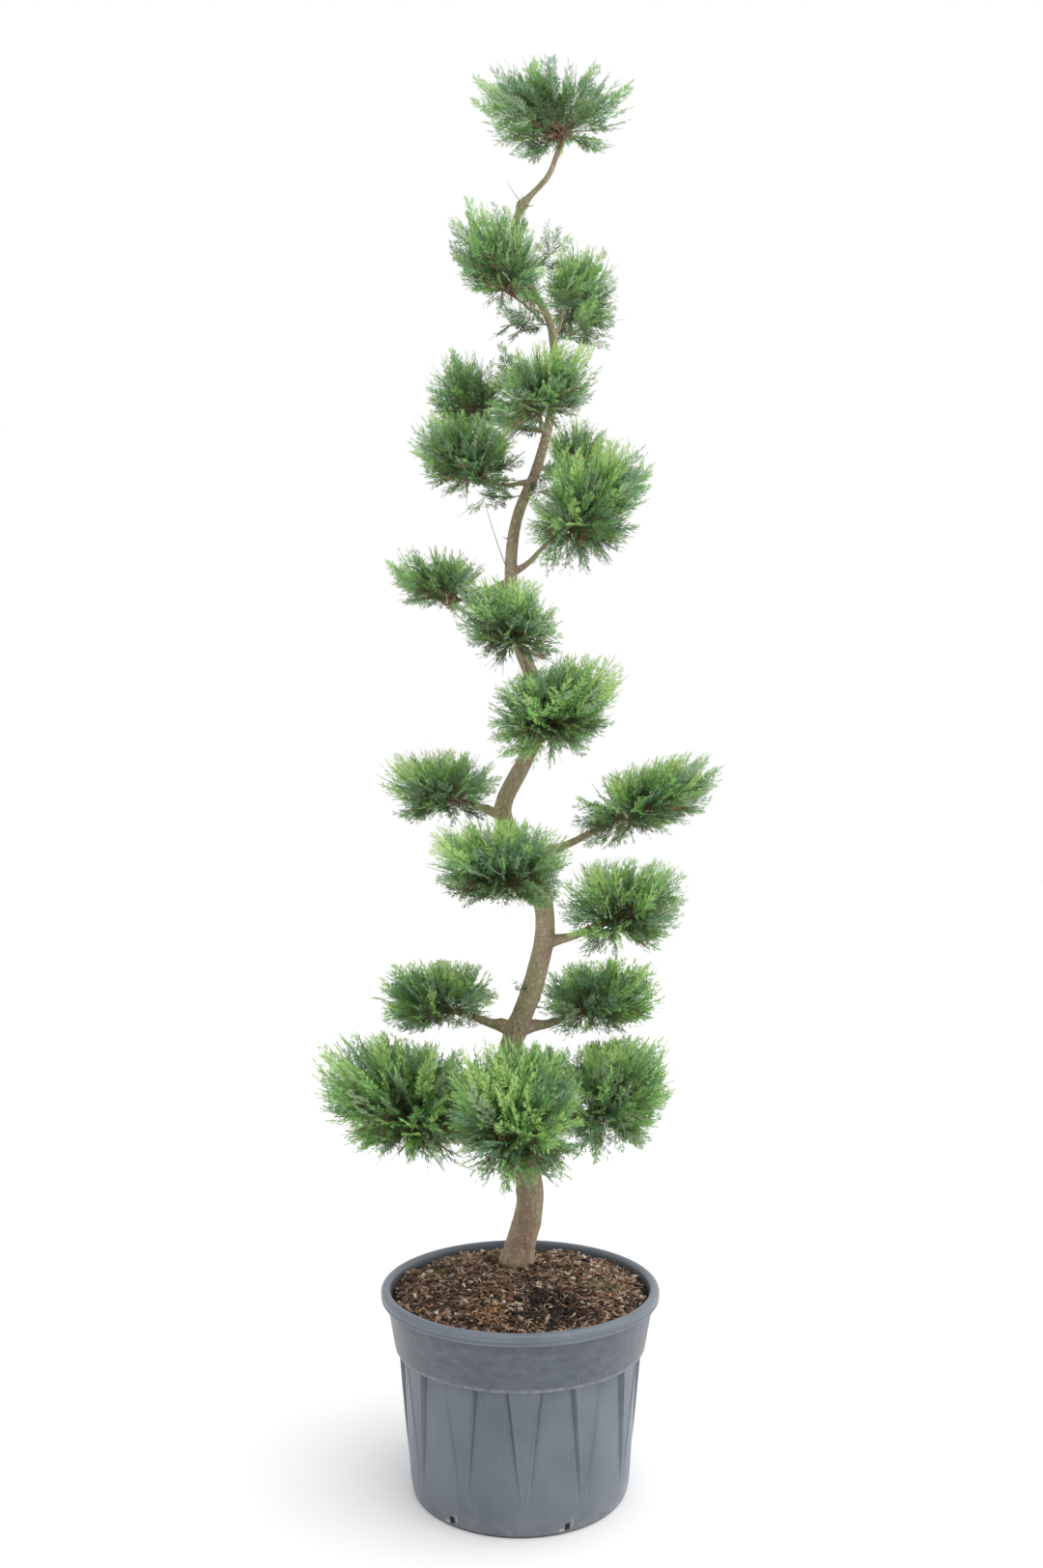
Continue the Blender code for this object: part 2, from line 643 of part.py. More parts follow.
def join_sprigs(stem, sprigs):
    """One Boolean union on the collection, applied; its objects then go."""
    union = stem.modifiers.new("join", "BOOLEAN")
    union.operation = "UNION"
    union.operand_type = "COLLECTION"
    union.collection = sprigs
    union.solver = "EXACT"
    evaluated = stem.evaluated_get(bpy.context.evaluated_depsgraph_get())
    joined = bpy.data.meshes.new_from_object(evaluated)
    joined.name = stem.name
    material = stem.data.materials[0]
    stem.modifiers.remove(union)
    stem.data = joined
    joined.materials.clear()
    joined.materials.append(material)
    for sprig in list(sprigs.objects):
        bpy.data.objects.remove(sprig)
    bpy.data.collections.remove(sprigs)
    keep_largest_shell(joined)


def keep_largest_shell(mesh):
    """Drops loose scraps and fills sealed hollows: only the shell that holds
    the most volume stays."""
    bm = bmesh.new()
    bm.from_mesh(mesh)
    bmesh.ops.triangulate(bm, faces=bm.faces)
    bmesh.ops.remove_doubles(bm, verts=bm.verts, dist=2e-6)
    bmesh.ops.dissolve_degenerate(bm, edges=bm.edges, dist=1e-6)
    unseen = set(bm.faces)
    shells = []
    while unseen:
        queue = [unseen.pop()]
        shell = []
        while queue:
            face = queue.pop()
            shell.append(face)
            for edge in face.edges:
                for near in edge.link_faces:
                    if near in unseen:
                        unseen.remove(near)
                        queue.append(near)
        volume = sum(f.verts[0].co.dot(f.normal) * f.calc_area() / 3 for f in shell)
        shells.append((volume, shell))
    largest = max(shells, key=lambda entry: entry[0])[1]
    scraps = set(bm.faces) - set(largest)
    bmesh.ops.delete(bm, geom=list(scraps), context="FACES")
    bm.to_mesh(mesh)
    bm.free()


def make_bough(cushion, cutter, collection, material):
    """One tapering limb from the trunk to where it enters its cushion."""
    name = "bough_" + cushion.name
    bough = limb_mesh(name, cushion.route, BOUGH_SIDES, collection, material)
    cut = bough.modifiers.new("trunk_seat", "BOOLEAN")
    cut.operation = "DIFFERENCE"
    cut.object = cutter
    cut.solver = "EXACT"
    return bough


def build():
    clear_scene()
    plant = new_collection("potted_leyland_cypress_bonsai")
    cutters = new_collection("cutters")
    plastic = new_material("slate_plastic", POT_COLOUR, 0.45)
    compost = new_material("bark_compost", SOIL_COLOUR, 0.95)
    bark = new_material("bark", BARK_COLOUR, 0.85)
    foliage = new_material("foliage", FOLIAGE_COLOUR, 0.65)
    make_pot(plant, plastic)
    make_soil(plant, compost)
    make_trunk(plant, bark)
    cutter = make_trunk_cutter(cutters)
    cushions = [Cushion(*row) for row in CUSHIONS]
    space = Space(cushions)
    for index, cushion in enumerate(cushions):
        rng = random.Random(SEED + index)
        if cushion.bough_height is not None:
            make_bough(cushion, cutter, plant, bark)
        grow_cushion(cushion, space, rng, plant, foliage)


build()
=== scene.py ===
# Looks of the potted leyland cypress bonsai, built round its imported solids.
# Metres, +Z up, -Y towards the viewer; the origin is under the pot's middle.

import math
import random
from collections import namedtuple

import bmesh
import bpy
import numpy as np
from mathutils import Matrix, Vector, noise


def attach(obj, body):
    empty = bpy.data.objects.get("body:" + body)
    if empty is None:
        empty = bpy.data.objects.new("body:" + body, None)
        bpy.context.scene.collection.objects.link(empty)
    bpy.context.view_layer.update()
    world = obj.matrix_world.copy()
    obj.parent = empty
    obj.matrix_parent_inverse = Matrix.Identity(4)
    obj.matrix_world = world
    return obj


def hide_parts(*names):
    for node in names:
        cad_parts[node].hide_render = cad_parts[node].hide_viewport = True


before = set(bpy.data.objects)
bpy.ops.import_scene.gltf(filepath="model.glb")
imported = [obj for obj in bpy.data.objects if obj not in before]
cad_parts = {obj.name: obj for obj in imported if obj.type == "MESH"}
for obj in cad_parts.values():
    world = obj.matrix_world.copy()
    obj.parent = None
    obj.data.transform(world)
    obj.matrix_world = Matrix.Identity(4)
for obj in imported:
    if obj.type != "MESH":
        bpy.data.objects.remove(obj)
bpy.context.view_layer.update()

BODY = "root"
SEED = 29
FULL_TURN = 2 * math.pi
MERGE_DISTANCE = 1e-6

# Camera: a pinhole at the photograph's place
IMAGE_HEIGHT = 1624
FOCAL_PIXELS = 1329.8
SENSOR = 36.0
FARTHEST_SEEN = 200.0
CAMERA_PLACE = (0.003, -3.011, 1.479)
CAMERA_PITCH = math.radians(2.33)

# Studio
FLOOR_RADIUS = 40.0
FLOOR_DROP = 0.0004
FLOOR_WHITE = (0.90, 0.90, 0.90)
WORLD_LIGHT = 1.05
DIM_LIGHT = 0.33                    # the world's light from straight in front
DIM_FROM = -0.95                    # how far towards the viewer the dim part reaches
DIM_TO = -0.10
RIGHT_LIGHT = 1.5                   # how much brighter it is from the right
RIGHT_FROM = 0.3                    # how far to the right that begins
SUN_LIGHT = 1.6
SUN_SPREAD = math.radians(75)
SUN_FROM = (0.48, -0.40, 1.0)

# The pot, with the source's sizes carried to a finer profile
POT_HEIGHT = 0.450
POT_RIM_RADIUS = 0.320
POT_LIP_WIDTH = 0.023
POT_LIP_DEPTH = 0.026
POT_COLLAR_TOP_RADIUS = 0.3065
POT_COLLAR_FOOT_RADIUS = 0.2870
POT_COLLAR_FOOT = 0.321
POT_COLLAR_ROUND = 0.0045           # rounding of the collar's lower edge
POT_BODY_TOP_RADIUS = 0.2770
POT_BODY_FOOT_RADIUS = 0.2500
POT_BASE_RADIUS = 0.2455
POT_BASE_ROUND = 0.009
POT_BASE_RING = 0.12                # a ring in the underside
POT_BASE_SWELL = (0.0018, 0.020)    # how far the wall is out past the base, and where
POT_WALL = 0.0045
POT_WALL_TOP = 0.439                # where the inner wall meets the lip
POT_FLOOR = 0.010
POT_FLOOR_REACH = 0.2               # nearer than this lie the floor and underside
POT_SHARP_ANGLE = math.radians(50)

# Radius and height past the body's top, where it turns out to the collar
COLLAR_STEP = ((-0.0004, -0.0062), (0.0010, -0.0046))

# The low ridge along the lip's foot: its foot from the collar's top edge, then
# its middle and its top from the rim and the lip's foot
RIDGE_FOOT = ((-0.0012, -0.0020), (-0.0004, 0.0006))
RIDGE_MIDDLE = (-0.0048, 0.0046)
RIDGE_ROUND = 0.0042
RIDGE_TOP = (-0.0034, 0.0092)

# Ribs
RIB_COUNT = 12
RIB_DEPTH = 0.008
RIB_FOOT = 0.032
RIB_POINT = 0.052                   # where a rib's two edges meet
RIB_END = 0.0055                    # how far under the collar's foot the ribs end
RIB_TOP_HALF_ANGLE = math.radians(7.5)
RIB_FOOT_HALF_ANGLE = math.radians(1.2)
RIB_EDGE_HALF_ANGLE = math.radians(0.55)
RIB_TURN = math.radians(2.0)
RIB_BEAD = 0.0018
RIB_GROOVE = 0.0015
RIB_BEAD_ANGLE = math.radians(0.45)

# Where the pot's edges are pale: rubbed, and along the ribs and the collar's foot also a painted
# highlight; how much along a rib, and how wide at other edges
RIB_WEAR_AND_HIGHLIGHT = 0.70
RIB_WEAR_AND_HIGHLIGHT_SPAN = (0.02, 0.985)       # share of a rib's height
COLLAR_WEAR_AND_HIGHLIGHT_BAND = 0.005
FOOT_WEAR_BAND = 0.012

# Drain notches. Each mark: material, width and height, place along and up
NOTCH_COUNT = 6
NOTCH_TURN = math.radians(-66)
NOTCH_TILT = math.radians(11)
NOTCH_THICKNESS = 0.0040
NOTCH_SINK = 0.0012
NOTCH_BEVEL = 0.0007
NOTCH_MARKS = (
    (0, (0.0110, 0.0150), (0.0, 0.016)),
    (1, (0.0110, 0.0060), (-0.0130, 0.010)),
    (1, (0.0030, 0.0170), (0.0115, 0.022)),
)

# The compost
SOIL_EDGE_HEIGHT = 0.424
SOIL_TOP_HEIGHT = 0.4597
SOIL_TOP_RADIUS = 0.150
SOIL_SHOULDER = 0.62
SOIL_LOOSE = 0.003                  # loose bark heaped against the pot's wall
SOIL_HEAPS = (14, 0.0065)           # waves a metre, and how high they are
SOIL_CRUMBS = (60, 0.0024)
SOIL_CALM = 0.12                    # the heaps are lower this near the trunk
SOIL_HOLLOW = (0.075, -0.170, 0.060, 0.008)     # place, radius and depth
BED_FOOT = 0.36
BED_RINGS = 46
BED_COLUMNS = 150
BED_BLANK_HEIGHT = 1.0              # the disc's, until its top takes its shape

# Loose chips of bark
CHIP_COUNT = 9800
CHIP_SHAPES = 6
CHIP_LENGTH = (0.0065, 0.0205)      # the shortest, and what the longest adds
CHIP_WIDTH = (0.14, 0.50)           # share of the length
CHIP_DEPTH = (0.25, 0.6)            # share of the width
CHIP_HEAP = 0.005                   # how high the uppermost lie
CHIP_TILT = 0.30
CHIP_LEAN = 0.35
CHIP_SHARES = (0.11, 0.21, 0.26, 0.10, 0.21, 0.05, 0.06)    # in the order of CHIP_TINTS
CHIP_MOTTLE = 38                    # damp and dry clusters, in waves a metre

# Where chips of one tint gather: place, radius, tint and their share
CHIP_PATCHES = (
    (0.070, -0.165, 0.075, "chip_black", 0.80),
    (0.015, -0.205, 0.030, "chip_black", 0.50),
    (-0.010, -0.175, 0.022, "chip_pale", 0.50),
    (-0.054, -0.158, 0.017, "chip_pale", 0.45),
    (0.011, -0.030, 0.014, "chip_pale", 0.45),
    (-0.070, -0.205, 0.028, "chip_orange", 0.55),
    (-0.230, -0.150, 0.030, "chip_orange", 0.35),
    (0.262, -0.060, 0.030, "chip_tan", 0.50),
    (-0.150, -0.190, 0.060, "chip_tan", 0.25),
    (-0.080, 0.120, 0.100, "chip_tan", 0.30),
    (0.140, 0.060, 0.110, "chip_tan", 0.25),
)

# Fibres of bark and root
FIBRE_COUNT = 900
FIBRE_LENGTH = (0.010, 0.034)
FIBRE_RADIUS = 0.0006
FIBRE_CURL = 1.2
FIBRE_LIFT = (0.001, 0.005)
FIBRE_HEIGHT = 0.003                # over the bed
FIBRE_TINTS = (
    "chip_brown", "chip_red", "chip_tan", "chip_tan", "chip_tan", "chip_orange", "chip_pale",
)

# Moss: place, radius and number of tufts of each patch
MOSS_PATCHES = (
    (0.170, -0.050, 0.040, 700),
    (0.215, -0.035, 0.030, 300),
    (-0.050, 0.155, 0.045, 700),
    (0.060, 0.205, 0.045, 500),
    (-0.200, 0.060, 0.030, 300),
)
MOSS_THICKNESS = (0.0012, 0.0022)
MOSS_HEIGHT = (0.004, 0.009)

# What is kept free inside the pot's wall
CHIP_MARGIN = 0.006
FIBRE_MARGIN = 0.012
MOSS_MARGIN = 0.01

# The trunk
TRUNK_FOOT = 0.460
TRUNK_TOP_RADIUS = 0.0062
TRUNK_BUTT_RADIUS = 0.0320
TRUNK_TAPER = 1.15
TRUNK_RINGS = 560
TRUNK_COLUMNS = 36
ROOT_FLARE = 0.0085
ROOT_FLARE_HEIGHT = 0.085

# Its bends: height, place to the right and place to the back
TRUNK_BENDS = (
    (0.46, -0.010, 0.100),
    (0.64, 0.023, 0.096),
    (0.75, -0.004, 0.098),
    (0.90, -0.041, 0.082),
    (1.01, -0.012, 0.060),
    (1.12, 0.028, 0.038),
    (1.29, 0.058, 0.012),
    (1.39, 0.038, 0.006),
    (1.54, -0.040, 0.010),
    (1.66, 0.012, 0.002),
    (1.77, 0.049, -0.018),
    (1.93, -0.002, -0.024),
    (2.08, -0.022, -0.010),
    (2.24, -0.006, 0.012),
    (2.36, 0.040, 0.028),
    (2.60, 0.082, 0.024),
    (2.70, 0.072, 0.010),
    (2.82, 0.010, -0.004),
    (2.98, 0.003, -0.006),
    (3.05, 0.066, -0.014),
    (3.11, 0.091, -0.020),
)
TRUNK_TOP = TRUNK_BENDS[-1][0]

# The bark's relief: waves a metre across a limb and along it, and how wide the
# cracks are in the noise that splits the bark
BARK_LUMPS = (24, 11)
BARK_SPLITS = (75, 16)
BARK_PATCHES = (16, 10)
TRUNK_WRINKLES = (28, 110)
BOUGH_WRINKLES = (90, 90)
CRACK_WIDTH = 0.12
TRUNK_RELIEF = 0.05                 # share of the trunk's radius
BOUGH_RELIEF = 0.0007

# Knots and low roots on the trunk
KNOT_COUNT = 34
KNOT_HEIGHTS = (0.50, 3.05)
KNOT_SIZE = (0.25, 0.5)             # share of the trunk's radius
KNOT_SWELLING = (0.08, 0.22)
LOW_ROOTS = 5
LOW_ROOT_TURN = 0.6
LOW_ROOT_PLACE = 0.040
LOW_ROOT_SIZE = 0.022
LOW_ROOT_SWELLING = 0.0055

# Boughs
BOUGH_THICKNESS = 0.52
BOUGH_TAPER = 0.60
BOUGH_RISE = 0.22
BOUGH_FOOT_HANDLE = 0.45
BOUGH_TIP_HANDLE = 0.30
BOUGH_TIP_REACH = 0.72
BOUGH_COLUMNS = 14
BOUGH_RING_SPACING = 0.007
BOUGH_KNOTS = 3
BOUGH_COLLAR = 0.45                 # how much thicker a bough starts
BOUGH_COLLAR_LENGTH = 1.6           # in radii of its foot
SOURCE_RING_SPACING = 0.045         # as in the solids
INLET_DROP = -0.60
CROWN_STEM_LENGTH = 0.060

# The cushions: name, middle, half sizes, lean, tilt, flare and height of the
# bough's foot on the trunk
CUSHIONS = (
    ("crown", (0.079, -0.020, 3.178), (0.186, 0.150, 0.103), -0.010, 0.000, 0.45, None),
    ("top_left", (-0.041, -0.130, 2.780), (0.124, 0.115, 0.128), -0.020, -0.040, 0.10, 2.72),
    ("top_right", (0.144, 0.120, 2.810), (0.103, 0.110, 0.132), 0.015, -0.015, 0.10, 2.68),
    ("high_front", (0.047, -0.160, 2.473), (0.135, 0.120, 0.110), 0.020, 0.020, 0.15, 2.44),
    ("high_left", (-0.127, 0.100, 2.547), (0.108, 0.110, 0.119), 0.000, -0.010, 0.15, 2.45),
    ("upper_left", (-0.124, -0.020, 2.365), (0.140, 0.120, 0.114), -0.015, -0.015, 0.15, 2.32),
    ("upper_back", (0.144, 0.190, 2.433), (0.086, 0.100, 0.107), 0.000, 0.000, 0.10, 2.36),
    ("upper_right", (0.154, -0.070, 2.234), (0.148, 0.135, 0.158), 0.030, 0.020, 0.15, 2.10),
    ("middle_left", (-0.196, 0.050, 2.085), (0.129, 0.120, 0.088), -0.010, -0.010, 0.10, 2.07),
    ("middle_front", (-0.022, -0.160, 1.947), (0.125, 0.120, 0.117), -0.030, 0.000, 0.10, 1.86),
    ("waist_front", (0.078, -0.140, 1.761), (0.157, 0.130, 0.134), 0.030, 0.015, 0.15, 1.66),
    ("waist_left", (-0.193, 0.070, 1.591), (0.152, 0.125, 0.103), -0.010, 0.000, 0.15, 1.53),
    ("waist_right", (0.298, 0.060, 1.561), (0.184, 0.135, 0.107), 0.025, 0.040, 0.10, 1.43),
    ("lower_front", (-0.041, -0.170, 1.411), (0.169, 0.130, 0.116), -0.010, -0.005, 0.15, 1.33),
    ("lower_right", (0.231, -0.090, 1.314), (0.151, 0.130, 0.125), 0.005, 0.005, 0.15, 1.23),
    ("low_left", (-0.202, 0.100, 1.085), (0.157, 0.140, 0.103), -0.010, 0.000, 0.15, 1.02),
    ("low_right", (0.193, 0.120, 1.083), (0.165, 0.140, 0.108), 0.010, 0.005, 0.15, 1.02),
    ("bottom_left", (-0.270, -0.030, 0.868), (0.210, 0.165, 0.162), -0.035, -0.020, 0.15, 0.78),
    ("bottom_front", (-0.011, -0.170, 0.867), (0.165, 0.140, 0.182), 0.000, -0.020, 0.05, 0.70),
    ("bottom_right", (0.215, 0.070, 0.864), (0.153, 0.150, 0.162), 0.025, 0.010, 0.15, 0.75),
    ("bottom_back", (0.049, 0.330, 0.841), (0.129, 0.135, 0.111), 0.000, 0.000, 0.15, 0.80),
    ("lower_back", (-0.017, 0.200, 1.392), (0.125, 0.125, 0.102), 0.000, 0.000, 0.15, 1.31),
    ("waist_back", (0.100, 0.210, 1.790), (0.118, 0.125, 0.114), 0.000, 0.000, 0.15, 1.71),
)

# Cushions whose leaves are joined into one piece, and their twigs into another
TIERS = {
    "crown": ("crown", "top_left", "top_right"),
    "high": ("high_front", "high_left", "upper_left", "upper_back"),
    "upper": ("upper_right", "middle_left", "middle_front"),
    "waist": ("waist_front", "waist_left", "waist_right", "waist_back"),
    "lower": ("lower_front", "lower_right", "lower_back"),
    "low": ("low_left", "low_right"),
    "bottom": ("bottom_left", "bottom_back"),
    "foot": ("bottom_front", "bottom_right"),
}

# The rule that fills a cushion
ROUNDNESS = 2.6
FORK_REACH = 0.18
GOLDEN_ANGLE = math.radians(137.508)
TIP_REACH = 0.995
BARE_TWIG_EVERY = 3
BARE_TWIG_REACH = 0.68
LIMB_MARGIN = 0.004
LIMB_STEP = 0.008                   # spacing of the points that stand for a limb
POINTS_AT_ONCE = 2000               # tested against the limbs
STEM_SINK = 0.006                   # how far a stem starts inside its bough
TWIGS_PER_ROOT_VOLUME = 840
TWIG_REACH = (0.40, 0.66)
TWIG_RADIUS = 0.0024
TWIG_SAG = 0.15                     # of a cushion's half height
PLUMES_PER_TWIG = 5
LEADER_SHARE = 0.09                 # share of the plumes that run on to the edge
LEADER_GAIN = 1.2                   # how much longer they are
LEADER_FULLNESS = 0.6               # how long their sprays are
PLUME_LIFT = 0.16                   # how far a plume's end turns up
LOW_PLUME_DROOP = 0.60              # how steeply the hanging plumes fall
PLUME_RADIUS = 0.0010
PLUME_CUT = 0.94                    # a plume that is too long is cut by steps
SHORTEST_PLUME = 0.030
MOOD_CHANGE = 0.25                  # from one plume of a twig to the next
SPRAY_SPACING = 0.0088              # along a plume, on alternate sides
SPRAY_SHARE = 0.52                  # of a plume's length, for its lowest sprays
LONGEST_SPRAY = 0.054
SHORTEST_SPRAY = 0.014
SPRAY_SPREAD = math.radians(38)
SPRAY_SLACK = 0.04                  # how far past its plume's reach a spray may go
SPRAY_JITTER = 0.10
SPRAY_TRIALS = 9                    # halvings in the search for a spray's length
SLIM_SHARE = 0.3                    # of the sprays on a plume's sides
ASKEW = (0.3, 0.2, 1.0)             # a direction that few twigs run along

# Painted light and shade: the higher cushions' tints are a little deeper than the lower ones'
DEEPER_BY_HEIGHT = 0.12
MIDDLE_HEIGHT = 1.9

# Leaf tints by how much light a spray gets: past each limit it takes the tint
LIGHTER_TINTS = ((0.18, "leaf_fresh_and_lit"), (0.58, "leaf_tip"))
DARKER_TINTS = ((-0.18, "leaf_deep"), (-0.58, "leaf_shade"))

# How a cushion is filled: how low its twigs start, how they crowd to its foot,
# the directions left open, how far out the plumes end on average and how much
# that varies by direction, how much they splay, their length as a share of the
# cushion's mean half size, and how far under its middle they fan out from
Habit = namedtuple("Habit", "lowest crowding gap reach lobes splay length fan_drop")
CLIPPED = Habit(-0.92, 1.25, -0.45, 0.935, 0.15, 0.42, (0.50, 0.95), 0.85)
OPEN = Habit(-0.75, 0.95, -0.06, 0.90, 0.20, 0.26, (0.80, 1.35), 0.95)

# Thick knots right round the trunk: height, size and swelling
TRUNK_KNUCKLES = ((2.984, 0.018, 0.0065), (2.945, 0.010, 0.0022), (2.665, 0.012, 0.0015))

# Stubs and sprigs that stand on the trunk itself: height, heading, length,
# thickness and how many plumes it bears
TRUNK_SPRIGS = (
    (2.985, (-0.60, -0.15, 0.80), 0.058, 0.0012, 0),
    (2.982, (0.95, -0.40, -0.15), 0.026, 0.0020, 0),
    (2.978, (0.60, 0.60, 0.20), 0.018, 0.0018, 0),
    (2.885, (0.12, -0.45, 0.90), 0.085, 0.0012, 1),
    (2.820, (0.75, -0.25, 0.50), 0.105, 0.0016, 6),
    (2.745, (0.85, -0.20, 0.30), 0.115, 0.0016, 6),
    (2.700, (-0.60, -0.55, -0.10), 0.120, 0.0016, 7),
    (2.665, (0.85, 0.10, 0.45), 0.120, 0.0016, 7),
    (2.640, (0.85, -0.50, 0.30), 0.030, 0.0016, 0),
    (2.530, (-0.80, -0.30, 0.35), 0.130, 0.0017, 8),
    (2.450, (-0.80, -0.45, 0.10), 0.110, 0.0016, 7),
    (2.330, (0.80, -0.20, 0.40), 0.100, 0.0015, 5),
    (2.270, (0.70, -0.60, 0.60), 0.090, 0.0013, 3),
    (2.290, (-0.80, -0.35, -0.05), 0.110, 0.0015, 6),
    (2.180, (-0.70, -0.50, 0.10), 0.022, 0.0016, 0),
    (2.085, (-0.32, -0.15, 0.94), 0.200, 0.0014, 0),
    (1.105, (-0.45, -0.70, 0.45), 0.060, 0.0012, 1),
    (1.065, (-0.25, -0.80, 0.35), 0.045, 0.0012, 1),
    (0.860, (-0.85, 0.20, 0.30), 0.125, 0.0018, 7),
    (0.790, (0.90, 0.15, 0.30), 0.140, 0.0018, 8),
    (0.690, (0.75, -0.45, -0.10), 0.055, 0.0012, 2),
)


# Small helpers

def link(item):
    bpy.context.scene.collection.objects.link(item)
    return item


def mesh_piece(name, bm, materials):
    """A finished object from a bmesh, at the origin."""
    mesh = bpy.data.meshes.new(name)
    bm.to_mesh(mesh)
    bm.free()
    for material in materials:
        mesh.materials.append(material)
    return link(bpy.data.objects.new(name, mesh))


def array_piece(name, points, triangles, tints, materials):
    """A finished object from joined arrays, with a material number a face."""
    mesh = bpy.data.meshes.new(name)
    mesh.vertices.add(len(points))
    mesh.vertices.foreach_set("co", points.astype(np.float32).ravel())
    mesh.loops.add(3 * len(triangles))
    mesh.loops.foreach_set("vertex_index", triangles.astype(np.int32).ravel())
    mesh.polygons.add(len(triangles))
    starts = np.arange(0, 3 * len(triangles), 3, dtype=np.int32)
    mesh.polygons.foreach_set("loop_start", starts)
    for material in materials:
        mesh.materials.append(material)
    mesh.polygons.foreach_set("material_index", tints.astype(np.int32))
    mesh.update(calc_edges=True)
    return link(bpy.data.objects.new(name, mesh))


def finish_piece(piece, slot, *nodes):
    """Rides the piece on the plant's body, in place of nodes. Its slot is not used."""
    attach(piece, BODY)
    if nodes:
        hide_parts(*nodes)


def bmesh_arrays(bm):
    """Points and triangles of a bmesh, which is then freed."""
    bmesh.ops.triangulate(bm, faces=bm.faces)
    bm.verts.index_update()
    points = np.array([vert.co for vert in bm.verts])
    triangles = np.array([[vert.index for vert in face.verts] for face in bm.faces])
    bm.free()
    return points, triangles


def turned(profile, columns):
    """A bmesh turned about the Z axis from points of radius and height."""
    bm = bmesh.new()
    verts = [bm.verts.new((radius, 0.0, height)) for radius, height in profile]
    edges = [bm.edges.new(pair) for pair in zip(verts, verts[1:])]
    bmesh.ops.spin(
        bm, geom=verts + edges, cent=(0, 0, 0), axis=(0, 0, 1),
        angle=FULL_TURN, steps=columns, use_merge=True,
    )
    bmesh.ops.remove_doubles(bm, verts=bm.verts, dist=MERGE_DISTANCE)
    return bm


def joined(batches):
    """Joins (points, triangles, material number) batches of placed copies."""
    points, triangles, tints = [], [], []
    start = 0
    for placed, faces, numbers in batches:
        copies, corners = placed.shape[0], placed.shape[1]
        offsets = start + corners * np.arange(copies)
        points.append(placed.reshape(-1, 3))
        triangles.append((faces[None] + offsets[:, None, None]).reshape(-1, 3))
        tints.append(np.repeat(numbers, len(faces)))
        start += copies * corners
    return np.concatenate(points), np.concatenate(triangles), np.concatenate(tints)


def place_copies(shape, frames, roots):
    """Copies of a shape's points under 3 x 3 frames, moved to their roots."""
    return np.einsum("kij,vj->kvi", frames, shape) + roots[:, None, :]


def unit(vectors):
    return vectors / np.maximum(np.linalg.norm(vectors, axis=-1, keepdims=True), 1e-9)


def outward(angle, rise=0.0):
    return np.array((math.cos(angle), math.sin(angle), rise))


# Shader nodes

MIX_COLOURS = (6, 7)                # a Mix node's colour sockets, by number
MIX_COLOUR_RESULT = 2


def put(tree, socket, value):
    """Links a socket to another, or sets it to a number, vector or colour."""
    if isinstance(value, bpy.types.NodeSocket):
        tree.links.new(value, socket)
    elif socket.type == "RGBA":
        socket.default_value = (*value, 1.0)
    else:
        socket.default_value = value


def add_node(tree, kind, sockets, **settings):
    """A shader node with its settings made and its sockets filled."""
    node = tree.nodes.new("ShaderNode" + kind)
    for name, value in settings.items():
        setattr(node, name, value)
    for label, value in sockets.items():
        put(tree, node.inputs[label], value)
    return node.outputs


def calculate(tree, operation, first, second, clamp=False):
    sockets = {0: first, 1: second}
    return add_node(tree, "Math", sockets, operation=operation, use_clamp=clamp)[0]


def new_group(name, inputs):
    """A node group that puts out a mask. Returns it, its inputs and its end."""
    group = bpy.data.node_groups.new(name, "ShaderNodeTree")
    for label, value in inputs:
        kind = "NodeSocketVector" if value is None else "NodeSocketFloat"
        socket = group.interface.new_socket(name=label, in_out="INPUT", socket_type=kind)
        if value is not None:
            socket.default_value = value
    group.interface.new_socket(name="Mask", in_out="OUTPUT", socket_type="NodeSocketFloat")
    start = group.nodes.new("NodeGroupInput")
    end = group.nodes.new("NodeGroupOutput")
    return group, start.outputs, end.inputs["Mask"]


def make_grain_group():
    """Soft noise cut to a mask between two levels."""
    inputs = (("Vector", None), ("Scale", 10.0), ("Low", 0.35), ("High", 0.65))
    group, start, mask = new_group("grain", inputs)
    sockets = {"Vector": start["Vector"], "Scale": start["Scale"], "Detail": 4.0}
    cloud = add_node(group, "TexNoise", sockets)["Fac"]
    sockets = {"Value": cloud, "From Min": start["Low"], "From Max": start["High"]}
    put(group, mask, add_node(group, "MapRange", sockets)["Result"])
    return group


def make_dust_group():
    """Patchy dust that fades out with height above a foot."""
    inputs = (("Vector", None), ("Foot", 0.0), ("Fade", 0.1), ("Patch Scale", 20.0))
    group, start, mask = new_group("dust", inputs)
    height = add_node(group, "SeparateXYZ", {"Vector": start["Vector"]})["Z"]
    above = calculate(group, "SUBTRACT", height, start["Foot"])
    faded = calculate(group, "DIVIDE", above, start["Fade"])
    kept = calculate(group, "SUBTRACT", 1.0, faded, clamp=True)
    sockets = {"Vector": start["Vector"], "Scale": start["Patch Scale"], "Detail": 5.0}
    cloud = add_node(group, "TexNoise", sockets)["Fac"]
    sockets = {"Value": cloud, "From Min": 0.42, "From Max": 0.68}
    patches = add_node(group, "MapRange", sockets)["Result"]
    put(group, mask, calculate(group, "MULTIPLY", kept, patches, clamp=True))
    return group


GRAIN = make_grain_group()
DUST = make_dust_group()


